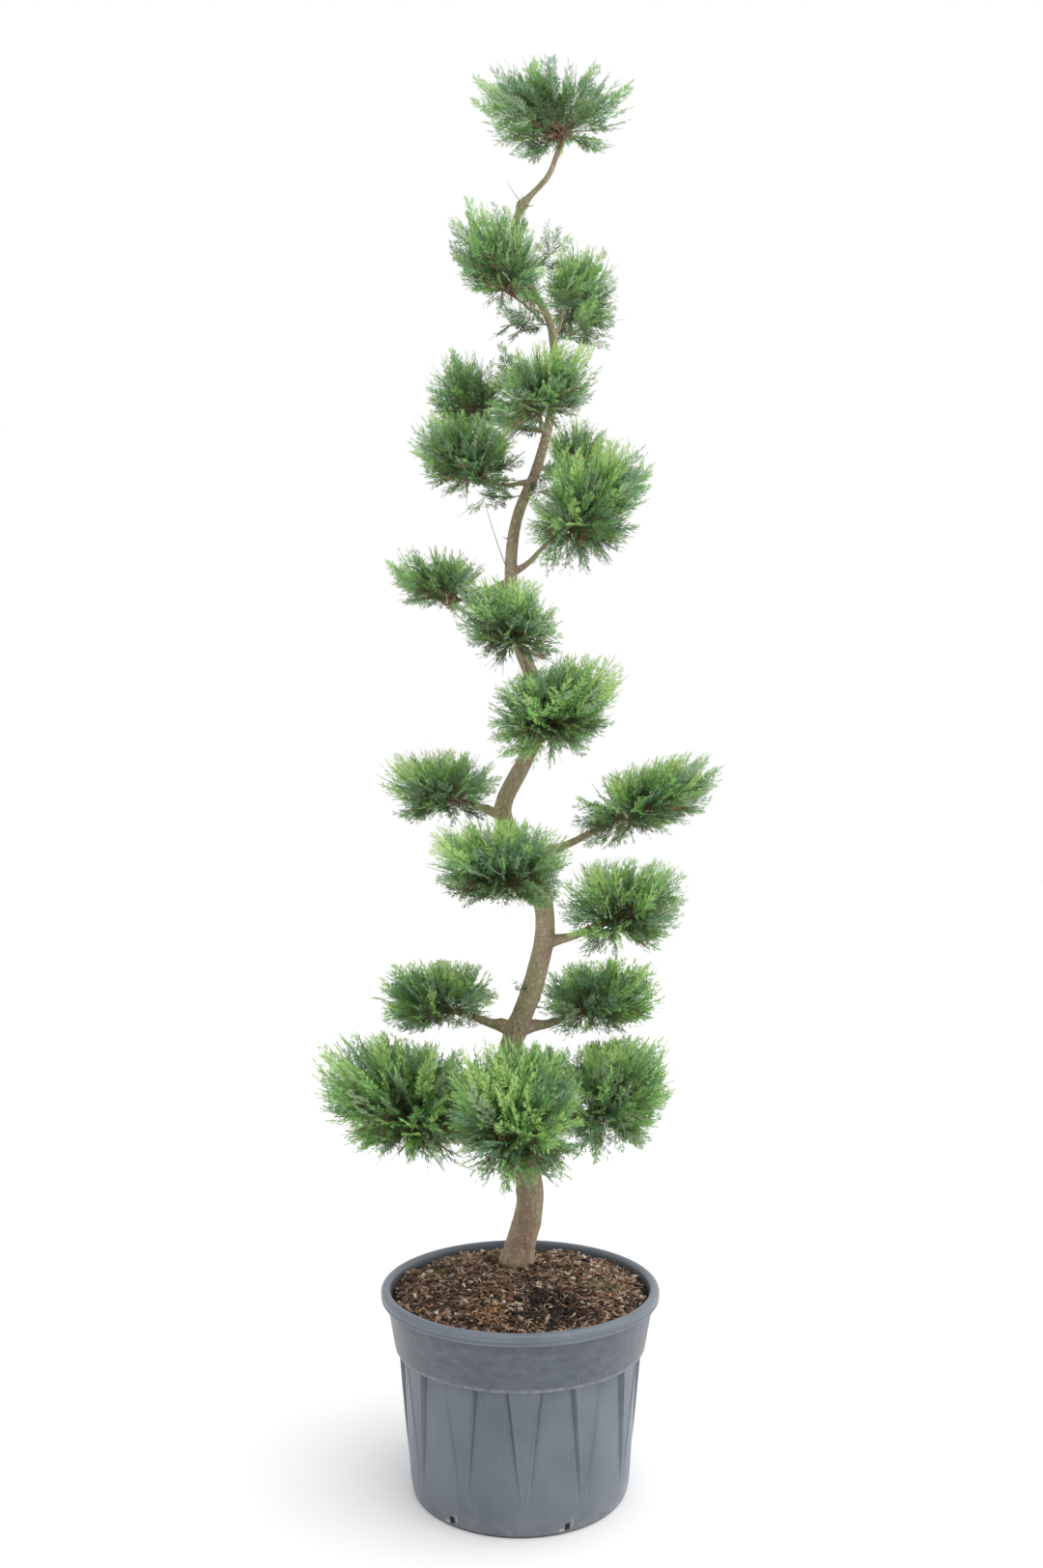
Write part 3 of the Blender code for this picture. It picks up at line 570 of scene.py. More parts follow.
class Finish:
    """A material under construction: its nodes, its shader and its pattern's
    coordinates."""

    def __init__(self, name, roughness):
        self.material = bpy.data.materials.new(name)
        self.material.use_nodes = True
        self.tree = self.material.node_tree
        self.shader = self.tree.nodes["Principled BSDF"].inputs
        self.shader["Roughness"].default_value = roughness
        self.place = add_node(self.tree, "TexCoord", {})["Object"]

    def stretched(self, scale):
        return add_node(self.tree, "Mapping", {"Vector": self.place, "Scale": scale})["Vector"]

    def grain(self, scale, low, high, vector=None):
        sockets = {"Vector": vector or self.place, "Scale": scale, "Low": low, "High": high}
        return add_node(self.tree, "Group", sockets, node_tree=GRAIN)["Mask"]

    def dust(self, foot, fade, scale):
        sockets = {"Vector": self.place, "Foot": foot, "Fade": fade, "Patch Scale": scale}
        return add_node(self.tree, "Group", sockets, node_tree=DUST)["Mask"]

    def attribute(self, name):
        return add_node(self.tree, "Attribute", {}, attribute_name=name)["Fac"]

    def times(self, mask, factor):
        return calculate(self.tree, "MULTIPLY", mask, factor)

    def level(self, mask, low, high):
        return add_node(self.tree, "MapRange", {"Value": mask, "To Min": low, "To Max": high})["Result"]

    def mix(self, base, over, mask):
        """Mixes colour sockets or plain colours by a mask."""
        sockets = {"Factor": mask, **dict(zip(MIX_COLOURS, (base, over)))}
        return add_node(self.tree, "Mix", sockets, data_type="RGBA")[MIX_COLOUR_RESULT]

    def wash(self, base, over, mask, share):
        """Mixes a share of a colour over another where a mask is."""
        return self.mix(base, over, self.times(mask, share))

    def colour(self, value):
        put(self.tree, self.shader["Base Color"], value)

    def roughness(self, value):
        put(self.tree, self.shader["Roughness"], value)

    def bump(self, *layers):
        """Height masks, each with its depth in metres, one Bump after another."""
        sockets = {}
        for mask, depth in layers:
            sockets.update({"Height": mask, "Distance": depth})
            sockets["Normal"] = add_node(self.tree, "Bump", sockets)["Normal"]
        put(self.tree, self.shader["Normal"], sockets["Normal"])


# Materials

SLATE = (0.105, 0.126, 0.158)
SLATE_PALE = (0.158, 0.182, 0.216)
SLATE_DEEP = (0.064, 0.076, 0.090)
POT_DUST_AND_HIGHLIGHT = (0.420, 0.400, 0.360)
POT_SCRATCH = (0.300, 0.310, 0.320)
POT_INNER_SHADE = (0.024, 0.024, 0.027)
NOTCH_SHADOW = (0.012, 0.012, 0.014)


def make_plastic():
    """Slate plastic: cloudy, finely pebbled, deeper on its collar, darkened
    inside with painted shade, its edges pale where rubbed and where a
    highlight is painted, and a little dusty at its foot."""
    finish = Finish("slate_plastic", 0.38)
    cloudy = finish.grain(9.0, 0.30, 0.75)
    colour = finish.mix(SLATE, SLATE_PALE, cloudy)
    blotches = finish.grain(34.0, 0.30, 0.70, finish.stretched((1.0, 1.0, 2.2)))
    deep = finish.times(finish.attribute("collar"), finish.level(blotches, 0.35, 0.85))
    colour = finish.mix(colour, SLATE_DEEP, deep)
    streaks = finish.grain(14.0, 0.62, 0.80, finish.stretched((6.0, 6.0, 0.5)))
    colour = finish.wash(colour, POT_SCRATCH, streaks, 0.20)
    # Pale edges: rubbed, with a painted highlight along the ribs and the collar's foot
    rubbed = finish.grain(60.0, 0.40, 0.75)
    edge = finish.times(finish.attribute("edge"), rubbed)
    colour = finish.wash(colour, POT_DUST_AND_HIGHLIGHT, edge, 0.50)
    colour = finish.wash(colour, POT_DUST_AND_HIGHLIGHT, finish.dust(0.0, 0.060, 26.0), 0.30)
    # Painted shade: the inside is darkened in patches
    inner_shade_patches = finish.grain(40.0, 0.25, 0.60)
    painted_inner_shade = finish.times(finish.attribute("inner"), finish.level(inner_shade_patches, 0.60, 0.95))
    finish.colour(finish.mix(colour, POT_INNER_SHADE, painted_inner_shade))
    finish.roughness(finish.level(cloudy, 0.30, 0.46))
    finish.bump((cloudy, 0.0010), (finish.grain(900.0, 0.3, 0.7), 0.00010))
    return finish.material


SOIL_DARK = (0.028, 0.017, 0.011)
SOIL_BROWN = (0.125, 0.075, 0.046)


def make_soil():
    """Crumbly compost, darker where it is damp."""
    finish = Finish("bark_compost", 0.95)
    crumbs = finish.grain(160.0, 0.35, 0.65)
    damp = finish.grain(14.0, 0.40, 0.70)
    colour = finish.mix(SOIL_DARK, SOIL_BROWN, crumbs)
    finish.colour(finish.wash(colour, SOIL_DARK, damp, 0.6))
    finish.bump((crumbs, 0.003), (finish.grain(520.0, 0.3, 0.7), 0.001))
    return finish.material


BARK_TAN = (0.470, 0.365, 0.255)
BARK_BROWN = (0.255, 0.180, 0.115)
BARK_OLIVE = (0.275, 0.260, 0.130)
BARK_RED = (0.340, 0.195, 0.135)
BARK_PALE = (0.620, 0.540, 0.430)
BARK_DARK = (0.070, 0.046, 0.032)


def make_bark():
    """Young smooth bark: fine wrinkles round the limb, soft streaks along it,
    worn and olive patches, a reddish foot, pale flakes, dark spots and cracks."""
    finish = Finish("bark", 0.80)
    wrinkles = finish.grain(150.0, 0.36, 0.64, finish.stretched((0.30, 0.30, 1.50)))
    streaks = finish.grain(55.0, 0.36, 0.64, finish.stretched((1.0, 1.0, 0.10)))
    worn = finish.grain(32.0, 0.40, 0.66, finish.stretched((1.0, 1.0, 0.35)))
    olive = finish.grain(11.0, 0.44, 0.62, finish.stretched((1.0, 1.0, 0.28)))
    flakes = finish.grain(190.0, 0.54, 0.68, finish.stretched((1.0, 1.0, 0.50)))
    spots = finish.grain(150.0, 0.59, 0.71, finish.stretched((1.0, 1.0, 0.85)))
    colour = finish.mix(BARK_BROWN, BARK_TAN, finish.level(streaks, 0.0, 0.8))
    for tint, mask, share in (
        (BARK_TAN, worn, 0.70),
        (BARK_BROWN, wrinkles, 0.35),
        (BARK_OLIVE, olive, 0.85),
        (BARK_RED, finish.grain(38.0, 0.56, 0.72), 0.50),
        (BARK_RED, finish.dust(TRUNK_FOOT, 0.26, 22.0), 0.60),
        (BARK_PALE, flakes, 0.60),
        (BARK_DARK, spots, 0.52),
    ):
        colour = finish.wash(colour, tint, mask, share)
    # Painted shade in the cracks, and the knots' own darker colour
    finish.colour(finish.mix(colour, BARK_DARK, finish.attribute("crack")))
    finish.roughness(finish.level(wrinkles, 0.70, 0.92))
    finish.bump((wrinkles, 0.0008), (finish.grain(700.0, 0.3, 0.7), 0.0003))
    return finish.material


def plain_finish(name, colour, roughness):
    """A plain colour for small things that are dealt their tints by the piece."""
    finish = Finish(name, roughness)
    finish.colour(colour)
    return finish.material


LEAF_TINTS = {
    "leaf_tip": (0.500, 0.725, 0.245),
    "leaf_fresh_and_lit": (0.335, 0.600, 0.175),
    "leaf_mid": (0.235, 0.455, 0.140),
    "leaf_grey": (0.390, 0.520, 0.310),
    "leaf_blue": (0.210, 0.380, 0.210),
    "leaf_deep": (0.145, 0.265, 0.085),
    "leaf_shade": (0.070, 0.125, 0.045),
    "leaf_rust": (0.270, 0.165, 0.090),
}
TWIG_TINTS = {
    "twig_brown": (0.160, 0.090, 0.050),
    "twig_red": (0.190, 0.080, 0.045),
    "twig_grey": (0.230, 0.175, 0.125),
    "twig_green": (0.150, 0.230, 0.075),
}
CHIP_TINTS = {
    "chip_black": (0.022, 0.014, 0.010),
    "chip_dark": (0.060, 0.032, 0.018),
    "chip_brown": (0.160, 0.092, 0.058),
    "chip_red": (0.200, 0.090, 0.055),
    "chip_tan": (0.350, 0.230, 0.155),
    "chip_orange": (0.440, 0.230, 0.090),
    "chip_pale": (0.700, 0.590, 0.460),
}
MOSS_TINTS = {
    "moss_green": (0.075, 0.150, 0.030),
    "moss_olive": (0.135, 0.140, 0.040),
}


def plain_finishes(tints, roughness):
    return [plain_finish(name, colour, roughness) for name, colour in tints.items()]


def numbers_of(tints):
    """The material number of each tint, by its name."""
    return {name: number for number, name in enumerate(tints)}


PLASTIC = make_plastic()
SOIL = make_soil()
BARK = make_bark()
LEAVES = plain_finishes(LEAF_TINTS, 0.55)
TWIGS = plain_finishes(TWIG_TINTS, 0.80)
CHIPS = plain_finishes(CHIP_TINTS, 0.85)
MOSS = plain_finishes(MOSS_TINTS, 0.90)

LEAF = numbers_of(LEAF_TINTS)
CHIP = numbers_of(CHIP_TINTS)
BROWN, RED, GREY, GREEN = range(len(TWIG_TINTS))


# The studio

def make_camera():
    camera = bpy.data.cameras.new("camera")
    camera.sensor_width = SENSOR
    camera.lens = FOCAL_PIXELS * SENSOR / IMAGE_HEIGHT
    camera.clip_end = FARTHEST_SEEN
    holder = link(bpy.data.objects.new("camera", camera))
    holder.location = CAMERA_PLACE
    holder.rotation_euler = (math.pi / 2 + CAMERA_PITCH, 0.0, 0.0)
    bpy.context.scene.camera = holder


def soft_step(tree, sockets):
    return add_node(tree, "MapRange", sockets, interpolation_type="SMOOTHSTEP")["Result"]


def shade_world(tree):
    """White to the eye; as light, dimmer from the viewer's side and brighter
    from the right."""
    aim = add_node(tree, "TexCoord", {})["Generated"]
    towards = add_node(tree, "SeparateXYZ", {"Vector": aim})
    front = soft_step(tree, {
        "Value": towards["Y"],
        "From Min": DIM_FROM,
        "From Max": DIM_TO,
        "To Min": DIM_LIGHT,
        "To Max": WORLD_LIGHT,
    })
    side = soft_step(tree, {
        "Value": towards["X"],
        "From Min": RIGHT_FROM,
        "To Min": 1.0,
        "To Max": RIGHT_LIGHT,
    })
    light = calculate(tree, "MULTIPLY", front, side)
    seen = add_node(tree, "LightPath", {})["Is Camera Ray"]
    background = tree.nodes["Background"].inputs
    put(tree, background["Strength"], 1.0)
    shown = add_node(tree, "Mix", {"Factor": seen, "A": light, "B": 1.0})["Result"]
    put(tree, background["Color"], shown)


def make_studio():
    scene = bpy.context.scene
    scene.view_settings.view_transform = "Standard"
    world = bpy.data.worlds.new("studio")
    world.use_nodes = True
    shade_world(world.node_tree)
    scene.world = world
    sun = bpy.data.lights.new("sun", "SUN")
    sun.energy = SUN_LIGHT
    sun.angle = SUN_SPREAD
    holder = link(bpy.data.objects.new("sun", sun))
    holder.rotation_euler = Vector(SUN_FROM).to_track_quat("Z", "Y").to_euler()
    bm = bmesh.new()
    bmesh.ops.create_circle(
        bm, cap_ends=True, segments=96, radius=FLOOR_RADIUS,
        matrix=Matrix.Translation((0, 0, -FLOOR_DROP)),
    )
    floor = mesh_piece("floor", bm, (plain_finish("studio_floor", FLOOR_WHITE, 0.9),))


# The pot

def inner_wall_radius(height):
    body_top = POT_BODY_TOP_RADIUS - RIB_DEPTH - POT_WALL
    body_foot = POT_BASE_RADIUS - POT_WALL
    lip = POT_RIM_RADIUS - POT_LIP_WIDTH
    heights = (POT_FLOOR, POT_COLLAR_FOOT, POT_WALL_TOP)
    return float(np.interp(height, heights, (body_foot, body_top, lip)))


def arc(middle, radius, start, end, steps):
    """Radius and height along an arc, its angles in degrees from outwards."""
    angles = np.radians(np.linspace(start, end, steps))
    return [(middle[0] + radius * math.cos(a), middle[1] + radius * math.sin(a)) for a in angles]


def straight(foot, top, low, high, steps):
    """Radius and height up a straight wall from foot to top, between heights."""
    heights = np.linspace(low, high, steps)
    return list(zip(np.interp(heights, (foot[1], top[1]), (foot[0], top[0])), heights))


def moved(points, radius, height):
    return [(radius + out, height + up) for out, up in points]


def pot_profile():
    """From the underside's middle up the outside, over the lip and down the
    inner wall, as radius and height. The lip has a low ridge along its foot."""
    base = POT_BASE_RADIUS - POT_BASE_ROUND
    body_foot = (POT_BODY_FOOT_RADIUS, RIB_FOOT)
    body_top = (POT_BODY_TOP_RADIUS, POT_COLLAR_FOOT)
    collar_foot = (POT_COLLAR_FOOT_RADIUS, POT_COLLAR_FOOT)
    collar_under = (POT_COLLAR_FOOT_RADIUS - POT_COLLAR_ROUND, POT_COLLAR_FOOT)
    lip_foot = POT_HEIGHT - POT_LIP_DEPTH
    collar_top = (POT_COLLAR_TOP_RADIUS, lip_foot)
    lip_round = 0.5 * POT_LIP_WIDTH
    lip_middle = (POT_RIM_RADIUS - lip_round, POT_HEIGHT - lip_round)
    ridge_middle, ridge_top = moved((RIDGE_MIDDLE, RIDGE_TOP), POT_RIM_RADIUS, lip_foot)
    return (
        [(0.0, 0.0), (POT_BASE_RING, 0.0), (base, 0.0)]
        + arc((base, POT_BASE_ROUND), POT_BASE_ROUND, -67, 0, 4)
        + moved((POT_BASE_SWELL,), POT_BASE_RADIUS, 0.0)
        + straight(body_foot, body_top, RIB_FOOT, POT_COLLAR_FOOT - 0.010, 12)
        + moved(COLLAR_STEP, *body_top)
        + arc(collar_under, POT_COLLAR_ROUND, -80, 0, 5)
        + straight(collar_foot, collar_top, POT_COLLAR_FOOT + 0.006, lip_foot - 0.006, 7)
        + moved(RIDGE_FOOT, *collar_top)
        + arc(ridge_middle, RIDGE_ROUND, -80, 55, 6)
        + [ridge_top]
        + arc(lip_middle, lip_round, -32, 180, 16)
        + [(inner_wall_radius(height), height) for height in (lip_foot, POT_COLLAR_FOOT, POT_FLOOR)]
        + [(0.0, POT_FLOOR)]
    )


def rib_columns(half):
    """Round one rib and its panel: each column's angle from the rib's middle,
    how far it lies back in the panel and its bead. A rib has a raised bead and
    its panel a groove along their common edge."""
    low, high = half - RIB_EDGE_HALF_ANGLE, half + RIB_EDGE_HALF_ANGLE
    rise = [(-high + t * (high - low), 1 - t, 0.0) for t in (0.25, 0.5, 0.75)]
    fall = [(-angle, back, 0.0) for angle, back, _ in reversed(rise)]
    face = np.linspace(RIB_BEAD_ANGLE - low, low - RIB_BEAD_ANGLE, 6)
    panel = np.linspace(high + RIB_BEAD_ANGLE, FULL_TURN / RIB_COUNT - high - RIB_BEAD_ANGLE, 10)
    return (
        [(-high, 1.0, RIB_GROOVE)]
        + rise
        + [(-low, 0.0, -RIB_BEAD)]
        + [(angle, 0.0, 0.0) for angle in face]
        + [(low, 0.0, -RIB_BEAD)]
        + fall
        + [(high, 1.0, RIB_GROOVE)]
        + [(angle, 1.0, 0.0) for angle in panel]
    )


def make_pot():
    """Turned from its profile; its columns then follow the ribs' slants. The
    pattern's attributes say where its edges are rubbed and given a painted
    highlight, where painted shade darkens its inside, and where its collar is."""
    per_rib = len(rib_columns(RIB_TOP_HALF_ANGLE))
    columns = RIB_COUNT * per_rib
    bm = turned(pot_profile(), columns)
    edge_layer = bm.verts.layers.float.new("edge")
    inner_layer = bm.verts.layers.float.new("inner")
    collar_layer = bm.verts.layers.float.new("collar")
    lip_foot = POT_HEIGHT - POT_LIP_DEPTH
    for vert in bm.verts:
        radius = math.hypot(vert.co.x, vert.co.y)
        height = vert.co.z
        if radius < POT_FLOOR_REACH:
            vert[inner_layer] = float(height > 0.5 * POT_FLOOR)
            continue
        column = round(math.atan2(vert.co.y, vert.co.x) / FULL_TURN * columns) % columns
        rib, place = divmod(column, per_rib)
        up = min(1.0, max(0.0, (height - RIB_POINT) / (POT_COLLAR_FOOT - RIB_POINT)))
        half = RIB_FOOT_HALF_ANGLE + up * (RIB_TOP_HALF_ANGLE - RIB_FOOT_HALF_ANGLE)
        offset, back, bead = rib_columns(half)[place]
        angle = rib * FULL_TURN / RIB_COUNT + RIB_TURN - math.pi / 2 + offset
        outside = radius > inner_wall_radius(height) + 0.5 * POT_WALL
        if outside and height < POT_COLLAR_FOOT - RIB_END:
            radius -= RIB_DEPTH * up * back * back * (3 - 2 * back) + bead * min(1.0, 3 * up)
        vert.co.x = radius * math.cos(angle)
        vert.co.y = radius * math.sin(angle)
        if outside:
            # Pale edges: wear, with a painted highlight along the ribs' beads and the collar's foot
            on_bead = bead < 0 and RIB_WEAR_AND_HIGHLIGHT_SPAN[0] < up < RIB_WEAR_AND_HIGHLIGHT_SPAN[1]
            collar_edge = 1 - abs(height - POT_COLLAR_FOOT) / COLLAR_WEAR_AND_HIGHLIGHT_BAND
            foot_edge = 1 - height / FOOT_WEAR_BAND
            vert[edge_layer] = max(0.0, RIB_WEAR_AND_HIGHLIGHT * on_bead, collar_edge, foot_edge)
            vert[collar_layer] = float(POT_COLLAR_FOOT + 0.004 < height < lip_foot)
        else:
            # The inner wall below the lip takes painted shade
            vert[inner_layer] = float(height < POT_HEIGHT - 0.6 * POT_LIP_DEPTH)
    bmesh.ops.recalc_face_normals(bm, faces=bm.faces)
    pot = mesh_piece("pot_shell", bm, (PLASTIC,))
    pot.data.shade_smooth()
    pot.data.set_sharp_from_angle(angle=POT_SHARP_ANGLE)
    finish_piece(pot, "pot_plastic", "pot")


def foot_wall_radius(height):
    """The outside of the wall, from the base's rounding to the ribs' foot."""
    swell, swell_height = POT_BASE_SWELL
    radii = (POT_BASE_RADIUS, POT_BASE_RADIUS + swell, POT_BODY_FOOT_RADIUS)
    return np.interp(height, (POT_BASE_ROUND, swell_height, RIB_FOOT), radii)


def make_notches():
    """Dark drain notches round the foot, with pale rubbed spots beside each."""
    bm = bmesh.new()
    for k in range(NOTCH_COUNT):
        for material, (width, height), (along, up) in NOTCH_MARKS:
            angle = NOTCH_TURN + FULL_TURN * k / NOTCH_COUNT + along / POT_BASE_RADIUS
            wall = foot_wall_radius(up) - NOTCH_SINK
            matrix = (
                Matrix.Rotation(angle, 4, "Z")
                @ Matrix.Translation((wall, 0.0, up))
                @ Matrix.Rotation(NOTCH_TILT, 4, "Y")
                @ Matrix.Diagonal((NOTCH_THICKNESS, width, height, 1.0))
            )
            made = bmesh.ops.create_cube(bm, size=1.0, matrix=matrix)
            for face in {face for vert in made["verts"] for face in vert.link_faces}:
                face.material_index = material
    bmesh.ops.bevel(
        bm, geom=bm.edges[:], offset=NOTCH_BEVEL, segments=1, affect="EDGES",
        profile=0.5, material=-1,
    )
    marks = (plain_finish("notch_shadow", NOTCH_SHADOW, 0.9), plain_finish("scuff", POT_DUST_AND_HIGHLIGHT, 0.8))
    finish_piece(mesh_piece("pot_notches", bm, marks), "pot_plastic")


# The compost

def soil_height(x, y):
    """The mound, with heaps that are calm at the trunk's foot, crumbs and one
    hollow in front."""
    edge = inner_wall_radius(SOIL_EDGE_HEIGHT)
    shoulder = SOIL_EDGE_HEIGHT + SOIL_SHOULDER * (SOIL_TOP_HEIGHT - SOIL_EDGE_HEIGHT)
    radii = (SOIL_TOP_RADIUS, 0.5 * (SOIL_TOP_RADIUS + edge), edge)
    heights = (SOIL_TOP_HEIGHT, shoulder + 0.5 * SOIL_LOOSE, SOIL_EDGE_HEIGHT + SOIL_LOOSE)
    mound = float(np.interp(math.hypot(x, y), radii, heights))
    heaps, heap_height = SOIL_HEAPS
    crumbs, crumb_height = SOIL_CRUMBS
    broad = noise.noise(Vector((x * heaps, y * heaps, 3.0)))
    fine = noise.noise(Vector((x * crumbs, y * crumbs, 7.0)))
    _, trunk_x, trunk_y = TRUNK_BENDS[0]
    calm = min(1.0, math.hypot(x - trunk_x, y - trunk_y) / SOIL_CALM)
    hollow_x, hollow_y, size, depth = SOIL_HOLLOW
    hollow = depth * math.exp(-(math.hypot(x - hollow_x, y - hollow_y) / size) ** 2)
    return mound + (heap_height * calm * broad + crumb_height * fine - hollow)


def soil_heights(x, y):
    return np.array([soil_height(a, b) for a, b in zip(x, y)])


def make_soil_bed():
    """A turned disc with a skirt, its top roughened."""
    edge = inner_wall_radius(SOIL_EDGE_HEIGHT) + 0.0005
    profile = [(edge * i / BED_RINGS, BED_BLANK_HEIGHT) for i in range(BED_RINGS + 1)]
    profile += [(inner_wall_radius(BED_FOOT) - 0.001, BED_FOOT), (0.0, BED_FOOT)]
    bm = turned(profile, BED_COLUMNS)
    for vert in bm.verts:
        if vert.co.z > 0.5 * BED_BLANK_HEIGHT:
            vert.co.z = soil_height(vert.co.x, vert.co.y)
    bmesh.ops.recalc_face_normals(bm, faces=bm.faces)
    bed = mesh_piece("compost_bed", bm, (SOIL,))
    bed.data.shade_smooth()
    finish_piece(bed, "compost", "compost")


def chip_shape(rng):
    """A block with its corners knocked."""
    bm = bmesh.new()
    bmesh.ops.create_cube(bm, size=1.0)
    for vert in bm.verts:
        vert.co.x *= rng.uniform(0.55, 1.0)
        vert.co.y *= rng.uniform(0.45, 1.0)
        vert.co.z *= rng.uniform(0.5, 1.0)
    return bmesh_arrays(bm)


def chip_tints(rng, x, y):
    """Mottled tints, darker in damp clusters and paler in dry ones, with a
    few patches of one tint."""
    count = len(x)
    tints = rng.choice(len(CHIPS), count, p=CHIP_SHARES)
    mottle = np.array([
        noise.noise(Vector((a * CHIP_MOTTLE, b * CHIP_MOTTLE, 1.0))) for a, b in zip(x, y)
    ])
    damp = (mottle < -0.10) & (rng.uniform(0, 1, count) < 0.55)
    tints[damp] = rng.choice((CHIP["chip_black"], CHIP["chip_dark"]), int(damp.sum()))
    dry = (mottle > 0.16) & (rng.uniform(0, 1, count) < 0.35)
    dry_tints = (CHIP["chip_tan"], CHIP["chip_pale"])
    tints[dry] = rng.choice(dry_tints, int(dry.sum()), p=(0.8, 0.2))
    for patch_x, patch_y, size, tint, share in CHIP_PATCHES:
        inside = np.hypot(x - patch_x, y - patch_y) < size * rng.uniform(0.7, 1.2, count)
        tints[inside & (rng.uniform(0, 1, count) < share)] = CHIP[tint]
    return tints


def make_chips():
    """Splinters and slabs of bark, scattered evenly over the bed."""
    rng = np.random.default_rng(SEED)
    shapes = [chip_shape(rng) for _ in range(CHIP_SHAPES)]
    count = CHIP_COUNT
    edge = inner_wall_radius(SOIL_EDGE_HEIGHT) - CHIP_MARGIN
    radius = edge * np.sqrt(rng.uniform(0, 1, count))
    angle = rng.uniform(0, FULL_TURN, count)
    x, y = radius * np.cos(angle), radius * np.sin(angle)
    length = CHIP_LENGTH[0] + CHIP_LENGTH[1] * rng.uniform(0, 1, count) ** 3
    width = length * rng.uniform(*CHIP_WIDTH, count)
    depth = width * rng.uniform(*CHIP_DEPTH, count)
    heap = rng.uniform(0.0, CHIP_HEAP, count)
    roots = np.stack((x, y, soil_heights(x, y) + heap), axis=-1)
    turn = rng.uniform(0, FULL_TURN, count)
    tilt = rng.normal(0, CHIP_TILT, count)
    level = np.cos(tilt)
    along = np.stack((np.cos(turn) * level, np.sin(turn) * level, np.sin(tilt)), axis=-1)
    lean = rng.normal(0, CHIP_LEAN, (count, 3)) + np.array((0.0, 0.0, 1.0))
    across = unit(np.cross(lean, along))
    up = np.cross(along, across)
    sizes = np.stack((length, width, depth), axis=-1)
    frames = np.stack((along, across, up), axis=-1) * sizes[:, None, :]
    tints = chip_tints(rng, x, y)
    batches = []
    for index, (points, triangles) in enumerate(shapes):
        mine = np.arange(count) % len(shapes) == index
        batches.append((place_copies(points, frames[mine], roots[mine]), triangles, tints[mine]))
    finish_piece(array_piece("bark_chips", *joined(batches), CHIPS), "compost")


def make_fibres():
    """Thin bent fibres of bark and root that lie over the chips."""
    rng = random.Random(SEED + 4)
    edge = inner_wall_radius(SOIL_EDGE_HEIGHT) - FIBRE_MARGIN
    fibres = []
    for _ in range(FIBRE_COUNT):
        radius = edge * math.sqrt(rng.random())
        middle = radius * outward(rng.uniform(0, FULL_TURN))
        turn = rng.uniform(0, FULL_TURN)
        length = rng.uniform(*FIBRE_LENGTH)
        curl = rng.uniform(-FIBRE_CURL, FIBRE_CURL)
        lift = rng.uniform(*FIBRE_LIFT)
        route = []
        for t in (-0.5, -0.17, 0.17, 0.5):
            x, y, _ = middle + t * length * outward(turn + curl * t)
            within = min(1.0, edge / max(1e-6, math.hypot(x, y)))
            x, y = x * within, y * within
            height = soil_height(x, y) + FIBRE_HEIGHT + lift * (1 - 4 * t * t)
            route.append((np.array((x, y, height)), FIBRE_RADIUS * (1 - abs(t))))
        fibres.append((route, CHIP[rng.choice(FIBRE_TINTS)]))
    finish_piece(tube_piece("bark_fibres", fibres, CHIPS), "compost")


def make_moss():
    """Low tufts of moss in a few patches, of three-sided points."""
    rng = np.random.default_rng(SEED + 1)
    bm = bmesh.new()
    bmesh.ops.create_cone(
        bm, cap_ends=False, segments=3, radius1=0.5, radius2=0.0, depth=1.0,
        matrix=Matrix.Translation((0, 0, 0.5)),
    )
    bmesh.ops.remove_doubles(bm, verts=bm.verts, dist=MERGE_DISTANCE)
    points, triangles = bmesh_arrays(bm)
    places = np.concatenate([
        rng.normal((x, y), 0.5 * size, (count, 2)) for x, y, size, count in MOSS_PATCHES
    ])
    reach = inner_wall_radius(SOIL_EDGE_HEIGHT) - MOSS_MARGIN
    places = places[np.hypot(places[:, 0], places[:, 1]) < reach]
    count = len(places)
    roots = np.column_stack((places, soil_heights(*places.T) + 0.001))
    up = unit(rng.normal(0, 0.5, (count, 3)) + np.array((0, 0, 1.0)))
    along = unit(np.cross(up, rng.normal(0, 1, (count, 3))))
    across = np.cross(up, along)
    thick = rng.uniform(*MOSS_THICKNESS, count)[:, None]
    tall = rng.uniform(*MOSS_HEIGHT, count)[:, None]
    frames = np.stack((along * thick, across * thick, up * tall), axis=-1)
    tints = rng.integers(0, len(MOSS), count)
    tufts = joined([(place_copies(points, frames, roots), triangles, tints)])
    finish_piece(array_piece("moss", *tufts, MOSS), "compost")


# Limbs

def smooth_route(height, column):
    """A cubic through the trunk's bends, read at a height."""
    heights = np.array([bend[0] for bend in TRUNK_BENDS])
    places = np.array([bend[column] for bend in TRUNK_BENDS])
    slopes = np.gradient(places, heights)
    index = int(np.clip(np.searchsorted(heights, height) - 1, 0, len(heights) - 2))
    span = heights[index + 1] - heights[index]
    t = (height - heights[index]) / span
    return float(
        (2 * t**3 - 3 * t**2 + 1) * places[index]
        + (t**3 - 2 * t**2 + t) * span * slopes[index]
        + (3 * t**2 - 2 * t**3) * places[index + 1]
        + (t**3 - t**2) * span * slopes[index + 1]
    )


def trunk_point(height):
    return np.array((smooth_route(height, 1), smooth_route(height, 2), height))


def trunk_radius(height):
    share = max(0.0, (TRUNK_TOP - height) / (TRUNK_TOP - TRUNK_FOOT))
    flare = ROOT_FLARE * math.exp(-(height - TRUNK_FOOT) / ROOT_FLARE_HEIGHT)
    swell = (TRUNK_BUTT_RADIUS - TRUNK_TOP_RADIUS) * share**TRUNK_TAPER
    return TRUNK_TOP_RADIUS + swell + flare


def trunk_relief(height):
    return TRUNK_RELIEF * trunk_radius(height)


